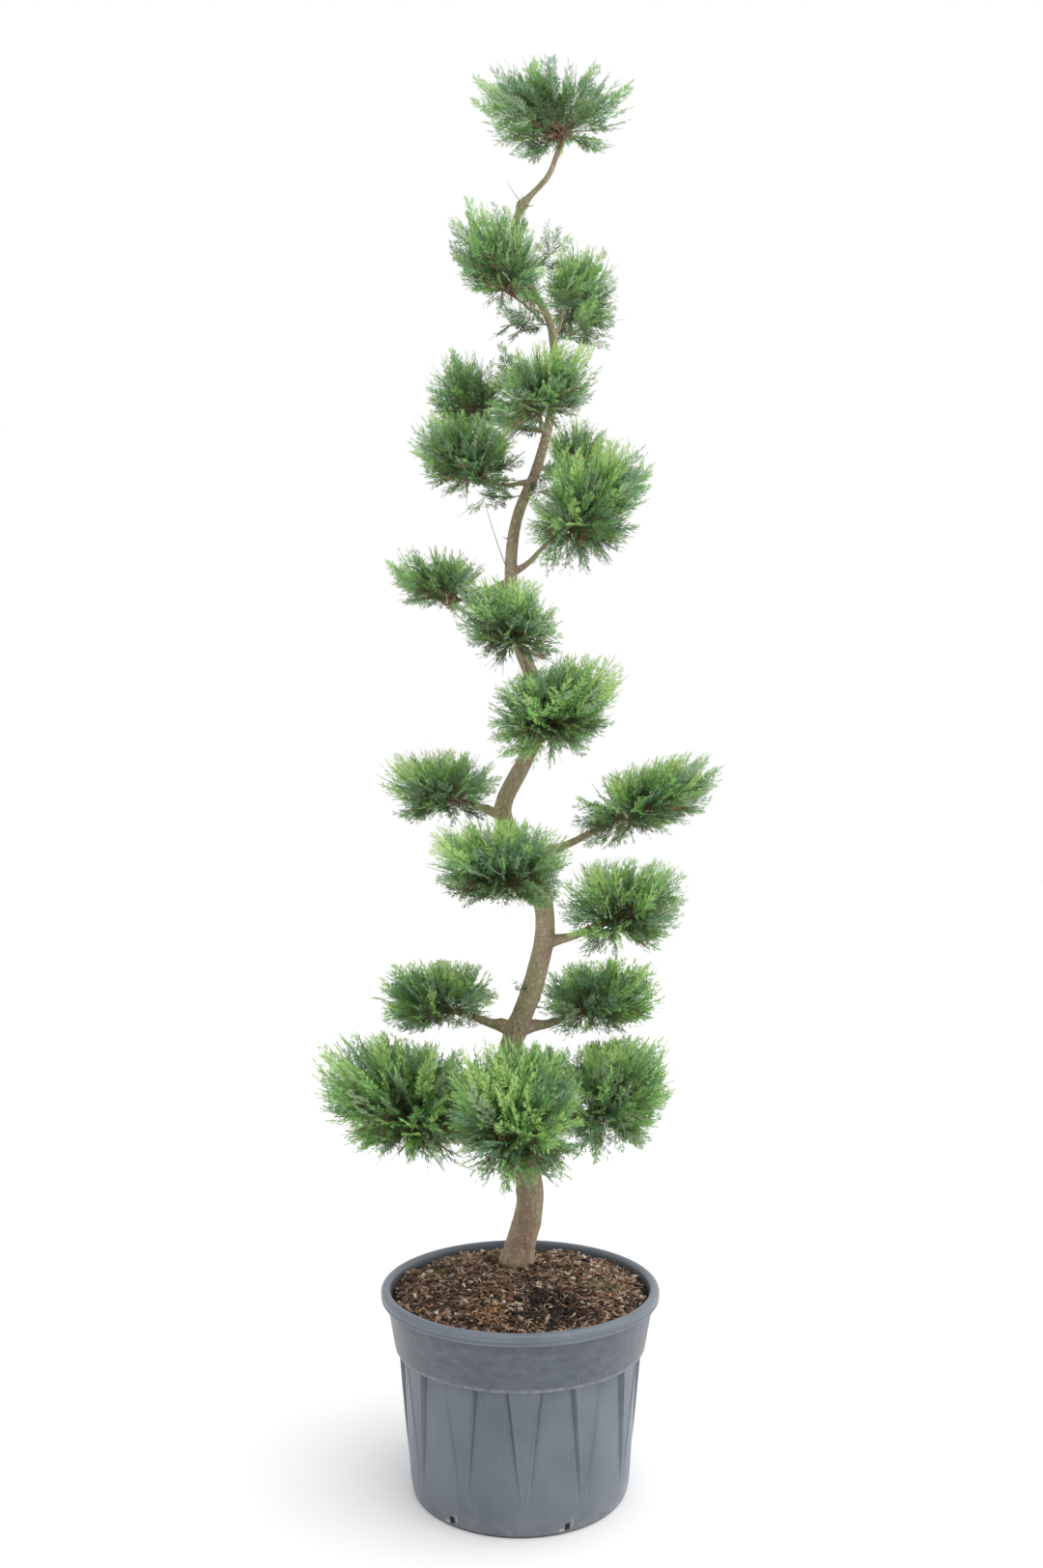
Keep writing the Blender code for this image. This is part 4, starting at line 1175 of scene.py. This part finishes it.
def tubes(name, routes, sides, caps=True):
    """Tapering tubes: one poly curve with a radius at each point, as a bmesh.
    A route is a list of (place, radius)."""
    curve = bpy.data.curves.new(name, "CURVE")
    curve.dimensions = "3D"
    curve.bevel_depth = 1.0
    curve.bevel_resolution = (sides - 4) // 2
    curve.use_fill_caps = caps
    for route in routes:
        spline = curve.splines.new("POLY")
        spline.points.add(len(route) - 1)
        rows = np.array([(*place, 1.0) for place, _ in route])
        spline.points.foreach_set("co", rows.ravel())
        spline.points.foreach_set("radius", [radius for _, radius in route])
    guide = link(bpy.data.objects.new(name, curve))
    evaluated = guide.evaluated_get(bpy.context.evaluated_depsgraph_get())
    mesh = bpy.data.meshes.new_from_object(evaluated)
    bm = bmesh.new()
    bm.from_mesh(mesh)
    bpy.data.meshes.remove(mesh)
    bpy.data.objects.remove(guide)
    bpy.data.curves.remove(curve)
    if caps:
        bmesh.ops.remove_doubles(bm, verts=bm.verts, dist=MERGE_DISTANCE)
    return bm


def tube_piece(name, limbs, materials):
    """Thin four-sided tubes in one object, from routes with their tints. The
    tubes' faces come in the routes' order."""
    sides = 4
    bm = tubes(name + "_guide", [route for route, _ in limbs], sides, caps=False)
    faces = iter(bm.faces)
    for route, tint in limbs:
        for _ in range(sides * (len(route) - 1)):
            next(faces).material_index = tint
    piece = mesh_piece(name, bm, materials)
    piece.data.shade_smooth()
    return piece


def ripple(place, waves, shift=(0, 0)):
    """Noise with so many waves a metre across a limb and along it."""
    across, along = waves
    x, y, z = place
    return noise.noise(Vector((x * across + shift[0], y * across + shift[1], z * along)))


def roughen(bm, swellings, depth, wrinkles, foot=None):
    """Moves a limb's skin along its normals: broad lumps, wrinkles, cracks, and
    a swelling round each (place, size, height) of a knot or collar. How dark
    the cracks and knots are is kept as an attribute: in the cracks that is
    painted shade, at the knots their own darker colour."""
    bm.normal_update()
    crack_layer = bm.verts.layers.float.new("crack")
    places, sizes, heights = (np.array(column) for column in zip(*swellings))
    moves = []
    for vert in bm.verts:
        split = ripple(vert.co, BARK_SPLITS, (9, 0))
        patch = max(0.0, ripple(vert.co, BARK_PATCHES, (0, 5)))
        crack = (max(0.0, CRACK_WIDTH - abs(split)) / CRACK_WIDTH) ** 2 * min(1.0, 3 * patch)
        relief = 1.1 * ripple(vert.co, BARK_LUMPS) + 0.40 * ripple(vert.co, wrinkles) - 0.6 * crack
        away = np.linalg.norm(places - np.array(vert.co), axis=1) / sizes
        swelling = float((heights * np.exp(-away**2)).sum())
        knot = float((0.55 * np.exp(-(2.2 * away) ** 2)).max())
        moves.append((vert, vert.normal.copy(), depth(vert.co.z) * relief + swelling))
        # Painted shade in the cracks; the knots' own darker colour
        vert[crack_layer] = max(0.45 * crack, knot)
    for vert, normal, move in moves:
        if foot is not None and vert.co.z < foot + 1e-4:
            normal.z = 0.0
        vert.co += normal * move


def bark_piece(name, bm, *nodes):
    bmesh.ops.recalc_face_normals(bm, faces=bm.faces)
    piece = mesh_piece(name, bm, (BARK,))
    piece.data.shade_smooth()
    finish_piece(piece, "bark", *nodes)


def trunk_swellings(pads):
    """Place, size and height of the collars under the boughs, the scattered
    knots, the knuckles with small knots round each, and the low roots."""
    rng = random.Random(SEED)
    swellings = []
    for pad in pads:
        start = pad.route[0][0]
        heading = unit(pad.route[1][0] - start)
        radius = trunk_radius(pad.bough_height)
        swellings.append((start + heading * radius * 0.9, radius * 0.75, radius * 0.20))
    for _ in range(KNOT_COUNT):
        height = rng.uniform(*KNOT_HEIGHTS)
        radius = trunk_radius(height)
        place = trunk_point(height) + radius * outward(rng.uniform(0, FULL_TURN))
        size = radius * rng.uniform(*KNOT_SIZE)
        swellings.append((place, size, radius * rng.uniform(*KNOT_SWELLING)))
    for height, size, swelling in TRUNK_KNUCKLES:
        middle = trunk_point(height)
        swellings.append((middle, size, swelling))
        for k in range(4):
            angle = height * 100 + k * GOLDEN_ANGLE
            out = outward(angle, 0.4 * math.sin(3 * angle))
            place = middle + out * (trunk_radius(height) + 0.6 * swelling)
            swellings.append((place, 0.35 * size, 0.35 * swelling))
    for k in range(LOW_ROOTS):
        out = LOW_ROOT_PLACE * outward(FULL_TURN * k / LOW_ROOTS + LOW_ROOT_TURN)
        swellings.append((trunk_point(TRUNK_FOOT) + out, LOW_ROOT_SIZE, LOW_ROOT_SWELLING))
    return swellings


def make_trunk(pads):
    """The trunk's route in fine rings, from a flat cut."""
    heights = np.linspace(TRUNK_FOOT, TRUNK_TOP, TRUNK_RINGS)
    bm = tubes("trunk_guide", [[(trunk_point(h), trunk_radius(h)) for h in heights]], TRUNK_COLUMNS)
    for vert in bm.verts:
        if vert.co.z < TRUNK_FOOT + 0.004:
            vert.co.z = TRUNK_FOOT
    roughen(bm, trunk_swellings(pads), trunk_relief, TRUNK_WRINKLES, foot=TRUNK_FOOT)
    bark_piece("trunk_bark", bm, "trunk")


def collared(route, buried):
    """A bough's route, thickened where it comes out of the trunk."""
    foot = route[0][1]
    before = route[0][0]
    run = 0.0
    grown = []
    for place, radius in route:
        run += float(np.linalg.norm(place - before))
        before = place
        outside = max(0.0, run - buried)
        flare = 1 + BOUGH_COLLAR * math.exp(-outside / (BOUGH_COLLAR_LENGTH * foot))
        grown.append((place, radius * flare))
    return grown


def make_boughs(pads):
    """All boughs in one piece: each starts inside the trunk with a collar."""
    rng = random.Random(SEED + 2)
    routes = []
    swellings = []
    for pad in pads:
        fine = pad.bough_route(BOUGH_RING_SPACING)
        routes.append(collared(fine, trunk_radius(pad.bough_height)))
        for _ in range(BOUGH_KNOTS):
            place, radius = rng.choice(fine)
            swellings.append((place + np.array((0, 0, radius)), radius * 0.8, radius * 0.25))
    bm = tubes("bough_guide", routes, BOUGH_COLUMNS)
    roughen(bm, swellings, lambda height: BOUGH_RELIEF, BOUGH_WRINKLES)
    bark_piece("bough_bark", bm, *("bough_" + pad.name for pad in pads))


# The cushions

class Pad:
    """The space of one cushion of foliage, and the bough that feeds it."""

    def __init__(self, name, middle, half, lean, tilt, flare, bough_height):
        self.name = name
        self.middle = np.array(middle)
        self.half = np.array(half)
        self.lean = lean
        self.tilt = tilt
        self.flare = flare
        self.bough_height = bough_height
        self.size = float(self.half.mean())
        if bough_height is None:
            self.habit = OPEN
            before = trunk_point(TRUNK_BENDS[-2][0])
            self.tip = trunk_point(TRUNK_TOP)
            self.tip_radius = trunk_radius(TRUNK_TOP)
            self.stem_length = CROWN_STEM_LENGTH
        else:
            self.habit = CLIPPED
            self.route = self.bough_route(SOURCE_RING_SPACING)
            before = self.route[-2][0]
            self.tip, self.tip_radius = self.route[-1]
        self.inward = unit(self.tip - before)
        self.fork = self.tip + self.inward * self.stem_length
        self.fan_root = self.place(np.array((0.0, 0.0, -self.habit.fan_drop)))

    def bough_route(self, spacing):
        """A bough bends out of the trunk and turns up into its cushion."""
        start = trunk_point(self.bough_height)
        inlet = self.share(start)
        inlet[2] = 0.0
        inlet = unit(unit(inlet) + np.array((0, 0, INLET_DROP)))
        tip = self.place(inlet * BOUGH_TIP_REACH)
        stem = self.place(inlet * FORK_REACH) - tip
        self.stem_length = float(np.linalg.norm(stem))
        inward = unit(stem)
        span = float(np.linalg.norm(tip - start))
        away = tip - start
        away[2] = 0.0
        away = unit(unit(away) + np.array((0, 0, BOUGH_RISE)))
        handle_a = start + away * span * BOUGH_FOOT_HANDLE
        handle_b = tip - inward * span * BOUGH_TIP_HANDLE
        foot_radius = BOUGH_THICKNESS * trunk_radius(self.bough_height)
        pieces = max(2, round(span / spacing))
        route = []
        for i in range(pieces + 1):
            t = i / pieces
            place = (
                start * (1 - t) ** 3
                + handle_a * 3 * t * (1 - t) ** 2
                + handle_b * 3 * t**2 * (1 - t)
                + tip * t**3
            )
            route.append((place, foot_radius * (1 - (1 - BOUGH_TAPER) * t)))
        return route

    def share(self, points):
        """Points as shares of the half sizes: right, back and up."""
        offset = points - self.middle
        up = (offset[..., 2] - self.tilt * offset[..., 0] / self.half[0]) / self.half[2]
        wide = 1 + self.flare * np.clip(up, -1, 1)
        right = (offset[..., 0] - self.lean * up) / (self.half[0] * wide)
        return np.stack((right, offset[..., 1] / (self.half[1] * wide), up), axis=-1)

    def place(self, shares):
        """Points from their shares of the half sizes."""
        wide = 1 + self.flare * np.clip(shares[..., 2], -1, 1)
        right = shares[..., 0] * self.half[0] * wide + self.lean * shares[..., 2]
        back = shares[..., 1] * self.half[1] * wide
        up = shares[..., 2] * self.half[2] + self.tilt * right / self.half[0]
        return self.middle + np.stack((right, back, up), axis=-1)

    def fullness(self, points):
        """How far out points lie: 1 at the furthest tips."""
        return (np.abs(self.share(points)) ** ROUNDNESS).sum(-1) ** (1 / ROUNDNESS)


class Sprig(Pad):
    """The small round space of a stub or sprig on the trunk."""

    def __init__(self, height, heading, length, thickness, plumes):
        self.heading = unit(np.array(heading))
        self.start = trunk_point(height) + self.heading * 0.7 * trunk_radius(height)
        self.length = length
        self.thickness = thickness
        self.plumes = plumes
        self.middle = self.start + 0.5 * length * self.heading
        self.half = np.full(3, 0.8 * length)
        self.lean = self.tilt = self.flare = 0.0

    def grow(self, rng):
        """Its axis and the plumes along it, in the same form as a cushion's."""
        end = self.start + self.heading * self.length
        lift = np.array((0, 0, 0.12 * self.length))
        axis = bend_between(self.start, 0.5 * (self.start + end) - lift, end, 6)
        tint = GREEN if self.plumes else rng.choice((BROWN, GREY))
        limbs = [(tapered(axis, self.thickness, 0.3 * self.thickness), tint)]
        sprays = []
        for k in range(self.plumes):
            if k == 0:
                grow_sprays(rng, axis, self.length, TIP_REACH, 1.2, rng.random(), sprays)
                continue
            root = axis[1 + k % 4]
            aim = unit(0.75 * self.heading + 0.65 * sideways(self.heading, k * GOLDEN_ANGLE))
            length = self.length * rng.uniform(0.60, 0.85)
            plume = bend_between(root, root + 0.5 * length * aim, root + length * aim, 4)
            limbs.append((tapered(plume, PLUME_RADIUS, 0.3 * PLUME_RADIUS), GREEN))
            grow_sprays(rng, plume, length, TIP_REACH, 1.1, rng.random(), sprays)
        return limbs, sprays


def branched(pads):
    """The cushions that have a bough: all but the crown."""
    return [pad for pad in pads if pad.bough_height is not None]


class Space:
    """Tells which points a cushion may fill."""

    def __init__(self, pads):
        self.pads = pads
        heights = np.arange(TRUNK_FOOT, TRUNK_TOP, LIMB_STEP)
        rows = [(trunk_point(height), trunk_radius(height)) for height in heights]
        for pad in branched(pads):
            rows += pad.bough_route(LIMB_STEP)
        self.places = np.array([place for place, _ in rows])
        self.radii = np.array([radius for _, radius in rows])

    def allows(self, pad, points):
        """Within the cushion, nearer to it than to any other, and off the limbs."""
        own = pad.fullness(points)
        free = own <= 1.0
        for other in self.pads:
            if other is not pad:
                free &= other.fullness(points) > own
        for start in range(0, len(points), POINTS_AT_ONCE):
            part = slice(start, start + POINTS_AT_ONCE)
            away = np.linalg.norm(points[part][:, None] - self.places[None], axis=2) - self.radii
            free[part] &= away.min(1) > LIMB_MARGIN
        return free


def blade(bm, root, heading, length, width, roll):
    """One leafy shoot: four corners, folded along its midrib."""
    made = bmesh.ops.create_circle(bm, cap_ends=True, segments=4, radius=1.0)
    heading = Vector(heading).normalized()
    side = Vector((-heading.y, heading.x, 0.0)).normalized()
    side = Matrix.Rotation(roll, 3, heading) @ side
    up = heading.cross(side)
    ends = []
    for vert in made["verts"]:
        across = vert.co.y
        if abs(across) < 0.5:
            ends.append(vert)
            vert.co = Vector(root) + heading * (length if vert.co.x > 0 else 0.0)
        else:
            vert.co = (
                Vector(root) + heading * 0.42 * length
                + side * math.copysign(0.5 * width, across) + up * 0.25 * width
            )
    bmesh.ops.connect_verts(bm, verts=ends)


def make_frond(rng, pairs, longest, width, bend, spread):
    """A spray of unit length along X: shoots on both sides of a midrib that
    bends up or down, shorter towards the tip."""
    bm = bmesh.new()
    count = 2 * pairs
    for i in range(count):
        t = 0.08 + 0.66 * i / count
        side = 1 if i % 2 else -1
        angle = side * math.radians(spread * (1 - 0.35 * t) + rng.uniform(-7, 7))
        rise = 2 * bend * t * math.cos(angle) + rng.uniform(-0.2, 0.2)
        heading = (math.cos(angle), math.sin(angle), rise)
        length = longest * (1 - 0.8 * t) * min(1.0, 0.6 + 2.2 * t) + 0.06
        blade(bm, (t, 0.0, bend * t * t), heading, length, width, rng.uniform(-0.8, 0.8))
    blade(bm, (0.0, 0.0, 0.0), (1.0, 0.0, bend * 0.9), 1.0, 0.8 * width, 0.3)
    return bmesh_arrays(bm)


# The shapes of spray: four full ones, two slim ones, then two that lead on
# from a plume's end. Each has its pairs of shoots, the longest shoot, their
# width and spread, and how far each shape of that kind bends up or down
FROND_KINDS = (
    (4, 0.50, 0.078, 36, (0.16, 0.05, -0.08, -0.20)),
    (3, 0.36, 0.070, 30, (0.12, -0.06)),
    (4, 0.24, 0.050, 28, (0.10, -0.05)),
)
FULL_FRONDS, SLIM_FRONDS, LEADING_FRONDS = (len(kind[-1]) for kind in FROND_KINDS)


def make_fronds():
    rng = random.Random(SEED + 3)
    return [
        make_frond(rng, pairs, longest, width, bend, spread)
        for pairs, longest, width, spread, bends in FROND_KINDS
        for bend in bends
    ]


def deal_fronds(leads, picks):
    """The shape of each spray, by a number dealt to it between 0 and 1."""
    full = (picks * 97).astype(int) % FULL_FRONDS
    slim = FULL_FRONDS + (picks * 20).astype(int) % SLIM_FRONDS
    leading = FULL_FRONDS + SLIM_FRONDS + (picks * 2).astype(int) % LEADING_FRONDS
    return np.where(leads, leading, np.where(picks < SLIM_SHARE, slim, full))


def bend_between(start, bend, end, steps):
    """Points along a curve that starts and ends in the bend's direction."""
    t = np.linspace(0, 1, steps)[:, None]
    return start * (1 - t) ** 2 + bend * 2 * t * (1 - t) + end * t**2


def tapered(points, foot, tip):
    return [(point, foot + (tip - foot) * i / (len(points) - 1)) for i, point in enumerate(points)]


def sideways(axis, angle):
    """The direction square to an axis, turned round it by an angle."""
    flat = unit(np.cross(axis, ASKEW))
    return flat * math.cos(angle) + np.cross(axis, flat) * math.sin(angle)


def any_side(rng, axis):
    """A random direction square to an axis."""
    return unit(np.cross(axis, unit(np.array([rng.gauss(0, 1) for _ in range(3)]))))


def walk(points, at):
    """The place and the heading at so many steps along a route."""
    index = min(int(at), len(points) - 2)
    step = points[index + 1] - points[index]
    return points[index] + step * (at - index), unit(step)


def grow(pad, space, rng):
    """Stem, twigs by the golden angle and the plumes on them. Returns the
    tubes with their tints, and a row for each spray."""
    habit = pad.habit
    stem_start = pad.tip - pad.inward * STEM_SINK
    stem = [stem_start + (pad.fork - stem_start) * t for t in np.linspace(0, 1, 5)]
    limbs = [(tapered(stem, pad.tip_radius, 0.5 * pad.tip_radius), BROWN)]
    sprays = []
    count = round(TWIGS_PER_ROOT_VOLUME * math.sqrt(float(np.prod(pad.half))))
    turn = rng.uniform(0, FULL_TURN)
    for i in range(count):
        rise = habit.lowest + (1 - habit.lowest) * ((i + 0.5) / count) ** habit.crowding
        level = math.sqrt(max(0.0, 1 - rise**2))
        angle = turn + i * GOLDEN_ANGLE
        heading = np.array((level * math.cos(angle), level * math.sin(angle), rise))
        bare = rise < 0 and i % BARE_TWIG_EVERY == 0
        start = pad.tip + (pad.fork - pad.tip) * rng.uniform(0.35, 1.0)
        end = pad.place(heading * (BARE_TWIG_REACH if bare else rng.uniform(*TWIG_REACH)))
        bend = pad.place(heading * FORK_REACH) + np.array((0, 0, -TWIG_SAG * pad.half[2]))
        points = bend_between(start, bend, end, 6)
        tint = rng.choice((BROWN, BROWN, RED, GREY))
        lobe = noise.noise(Vector(heading) * 2.6 + Vector((0.0, 0.0, turn)))
        reach = habit.reach + habit.lobes * (1.6 * lobe + rng.uniform(-0.5, 0.5))
        if lobe > habit.gap and space.allows(pad, points[3:]).all():
            limbs.append((tapered(points, TWIG_RADIUS, 0.4 * TWIG_RADIUS), tint))
            mood = rng.random()
            if not bare:
                grow_sprays(rng, points, 0.08, 0.8, 0.6, mood, sprays)
            grow_plumes(pad, rng, points, rise, reach, bare, mood, limbs, sprays)
    return limbs, sprays


def grow_plumes(pad, rng, points, rise, reach, bare, mood, limbs, sprays):
    """Plumes along a twig and one from its end: the upper ones fan out and
    turn up, the lowest droop."""
    habit = pad.habit
    fanned = float(np.clip(0.60 + 0.75 * rise, 0.0, 0.90))
    turned_up = PLUME_LIFT * float(np.clip(1.0 + 1.6 * rise, -0.7, 1.0))
    plumes = PLUMES_PER_TWIG - 1 if bare else PLUMES_PER_TWIG
    roll = rng.uniform(0, FULL_TURN)
    for j in range(plumes + 1):
        last = j == plumes
        at = (1.0 if last else 0.25 + 0.70 * (j + 0.5) / plumes) * (len(points) - 1)
        root, tangent = walk(points, at)
        side = sideways(tangent, roll + j * GOLDEN_ANGLE)
        fan = unit(root - pad.fan_root)
        aim = (1.30 - fanned) * tangent + (0.10 if last else habit.splay) * side + fanned * fan
        aim[2] *= 1.0 if aim[2] > 0 else LOW_PLUME_DROOP
        aim = unit(aim)
        length = pad.size * rng.uniform(*habit.length)
        limit = reach * rng.uniform(0.90, 1.05)
        leader = rng.random() < LEADER_SHARE
        if leader:
            limit = TIP_REACH
            length *= LEADER_GAIN
        limit = min(TIP_REACH, limit)
        while pad.fullness(root + aim * length) > limit and length > SHORTEST_PLUME:
            length *= PLUME_CUT
        if length <= SHORTEST_PLUME:
            continue
        lift = np.array((0, 0, turned_up * length))
        axis = bend_between(root, root + aim * 0.5 * length - 0.5 * lift, root + aim * length, 4)
        tint = rng.choice((BROWN, GREEN, GREEN, GREEN))
        limbs.append((tapered(axis, PLUME_RADIUS, 0.3 * PLUME_RADIUS), tint))
        density = 0.8 if bare else 1.0
        own_mood = min(1.0, max(0.0, mood + rng.uniform(-MOOD_CHANGE, MOOD_CHANGE)))
        fullness = LEADER_FULLNESS if leader else 1.0
        grow_sprays(rng, axis, length, limit, density, own_mood, sprays, fullness)


# A spray: its root, aim and the line square to its plane, its length, how far
# out it may reach, whether it leads on from its plume's end, its plume's mood
# and a number between 0 and 1 that deals out its shape
Spray = namedtuple("Spray", "root aim plane length limit leads mood pick")


def grow_sprays(rng, axis, length, limit, density, mood, sprays, fullness=1.0):
    """Sprays on alternate sides of a plume, in its plane, shorter towards its
    end, and one that leads on from the end."""
    normal = any_side(rng, unit(axis[-1] - axis[0]))
    count = max(3, round(length / SPRAY_SPACING * density))
    lowest = min(LONGEST_SPRAY, SPRAY_SHARE * length) * fullness
    for k in range(count + 1):
        leads = k == count
        t = 1.0 if leads else 0.10 + 0.84 * (k + rng.uniform(0.3, 0.7)) / count
        root, tangent = walk(axis, min(t * (len(axis) - 1), len(axis) - 1.001))
        side = np.cross(normal, tangent) * (1 if k % 2 else -1)
        spread = 0.05
        if not leads:
            spread = SPRAY_SPREAD * (1 - 0.4 * t) + rng.uniform(-SPRAY_JITTER, SPRAY_JITTER)
        jitter = np.array([rng.uniform(-SPRAY_JITTER, SPRAY_JITTER) for _ in range(3)])
        aim = unit(tangent * math.cos(spread) + side * math.sin(spread) + jitter)
        reach = lowest * (0.65 if leads else 1.0 - 0.64 * t) * rng.uniform(0.8, 1.15)
        plane = unit(normal + 1.5 * jitter)
        sprays.append(Spray(root, aim, plane, reach, limit, leads, mood, rng.random()))


def spray_lengths(pad, rows, limits):
    """How long each spray may be before its tip passes its limit."""
    near = np.zeros(len(rows.root))
    far = rows.length.copy()
    fits = pad.fullness(rows.root + rows.aim * rows.length[:, None]) < limits
    for _ in range(SPRAY_TRIALS):
        middle = 0.5 * (near + far)
        inside = pad.fullness(rows.root + rows.aim * middle[:, None]) < limits
        near = np.where(inside, middle, near)
        far = np.where(inside, far, middle)
    return np.where(fits, rows.length, near)


def spray_batches(pad, space, sprays, fronds):
    """Cuts the sprays to their cushion, drops those in another's space, deals
    out shapes and tints, and places them."""
    rows = Spray(*map(np.array, zip(*sprays)))
    limits = np.where(rows.leads, TIP_REACH, np.minimum(TIP_REACH, rows.limit + SPRAY_SLACK))
    rows = rows._replace(length=spray_lengths(pad, rows, limits))
    tips = rows.root + rows.aim * rows.length[:, None]
    keep = rows.length > SHORTEST_SPRAY
    keep &= space.allows(pad, tips) & space.allows(pad, 0.5 * (rows.root + tips))
    rows = Spray(*(column[keep] for column in rows))
    across = unit(np.cross(rows.plane, rows.aim))
    up = np.cross(rows.aim, across)
    frames = np.stack((rows.aim, across, up), axis=-1) * rows.length[:, None, None]
    kinds = deal_fronds(rows.leads, rows.pick)
    tints = spray_tints(pad, tips[keep], rows.mood, rows.pick)
    batches = []
    for kind, (points, triangles) in enumerate(fronds):
        mine = kinds == kind
        if mine.any():
            placed = place_copies(points, frames[mine], rows.root[mine])
            batches.append((placed, triangles, tints[mine]))
    return batches


def spray_tints(pad, tips, moods, picks):
    """Tints by spray, partly painted light and shade: fresh and lit on top
    and at the tips, blue and deeper below, painted shade within, and a little
    rust near the stem. A plume's sprays share a mood."""
    up = pad.share(tips)[:, 2]
    out = pad.fullness(tips)
    clump = np.array([noise.noise(Vector(tip) * 9.0) for tip in tips])
    # Painted light and shade: higher up and further out is lighter, within is darker
    score = 0.45 * up + 1.5 * (out - 0.80) + 0.4 * clump + 0.9 * (moods - 0.5) + 0.15 * (picks - 0.5)
    score += DEEPER_BY_HEIGHT * (MIDDLE_HEIGHT - pad.middle[2])
    tints = np.full(len(tips), LEAF["leaf_mid"])
    for limit, name in LIGHTER_TINTS:
        tints[score > limit] = LEAF[name]
    for limit, name in DARKER_TINTS:
        tints[score < limit] = LEAF[name]
    cool = np.modf(moods * 7.3)[0]
    tints[(cool < 0.22) & (score > -0.5) & (score < 0.30)] = LEAF["leaf_blue"]
    tints[(cool > 0.80) & (score > -0.2) & (score < 0.45)] = LEAF["leaf_grey"]
    tints[(up < -0.15) & (out < 0.80) & (picks < 0.25)] = LEAF["leaf_rust"]
    return tints


def join_foliage(name, twigs, batches, nodes):
    leaves = array_piece("leaves_" + name, *joined(batches), LEAVES)
    finish_piece(leaves, "foliage", *nodes)
    finish_piece(tube_piece("twigs_" + name, twigs, TWIGS), "bark", *nodes)


def make_foliage(pads):
    """Leaves and twigs of the cushions by tier, then of the trunk's sprigs."""
    space = Space(pads)
    fronds = make_fronds()
    numbered = {pad.name: (number, pad) for number, pad in enumerate(pads)}
    for tier, names in TIERS.items():
        twigs, batches = [], []
        for name in names:
            number, pad = numbered[name]
            made, sprays = grow(pad, space, random.Random(SEED + number))
            twigs += made
            batches += spray_batches(pad, space, sprays, fronds)
        join_foliage(tier, twigs, batches, ["foliage_" + name for name in names])
    rng = random.Random(SEED + 5)
    twigs, batches = [], []
    for row in TRUNK_SPRIGS:
        sprig = Sprig(*row)
        made, sprays = sprig.grow(rng)
        twigs += made
        if sprays:
            batches += spray_batches(sprig, space, sprays, fronds)
    join_foliage("sprigs", twigs, batches, ())


make_camera()
make_studio()
make_pot()
make_notches()
make_soil_bed()
make_chips()
make_fibres()
make_moss()
PADS = [Pad(*row) for row in CUSHIONS]
make_trunk(branched(PADS))
make_boughs(branched(PADS))
make_foliage(PADS)
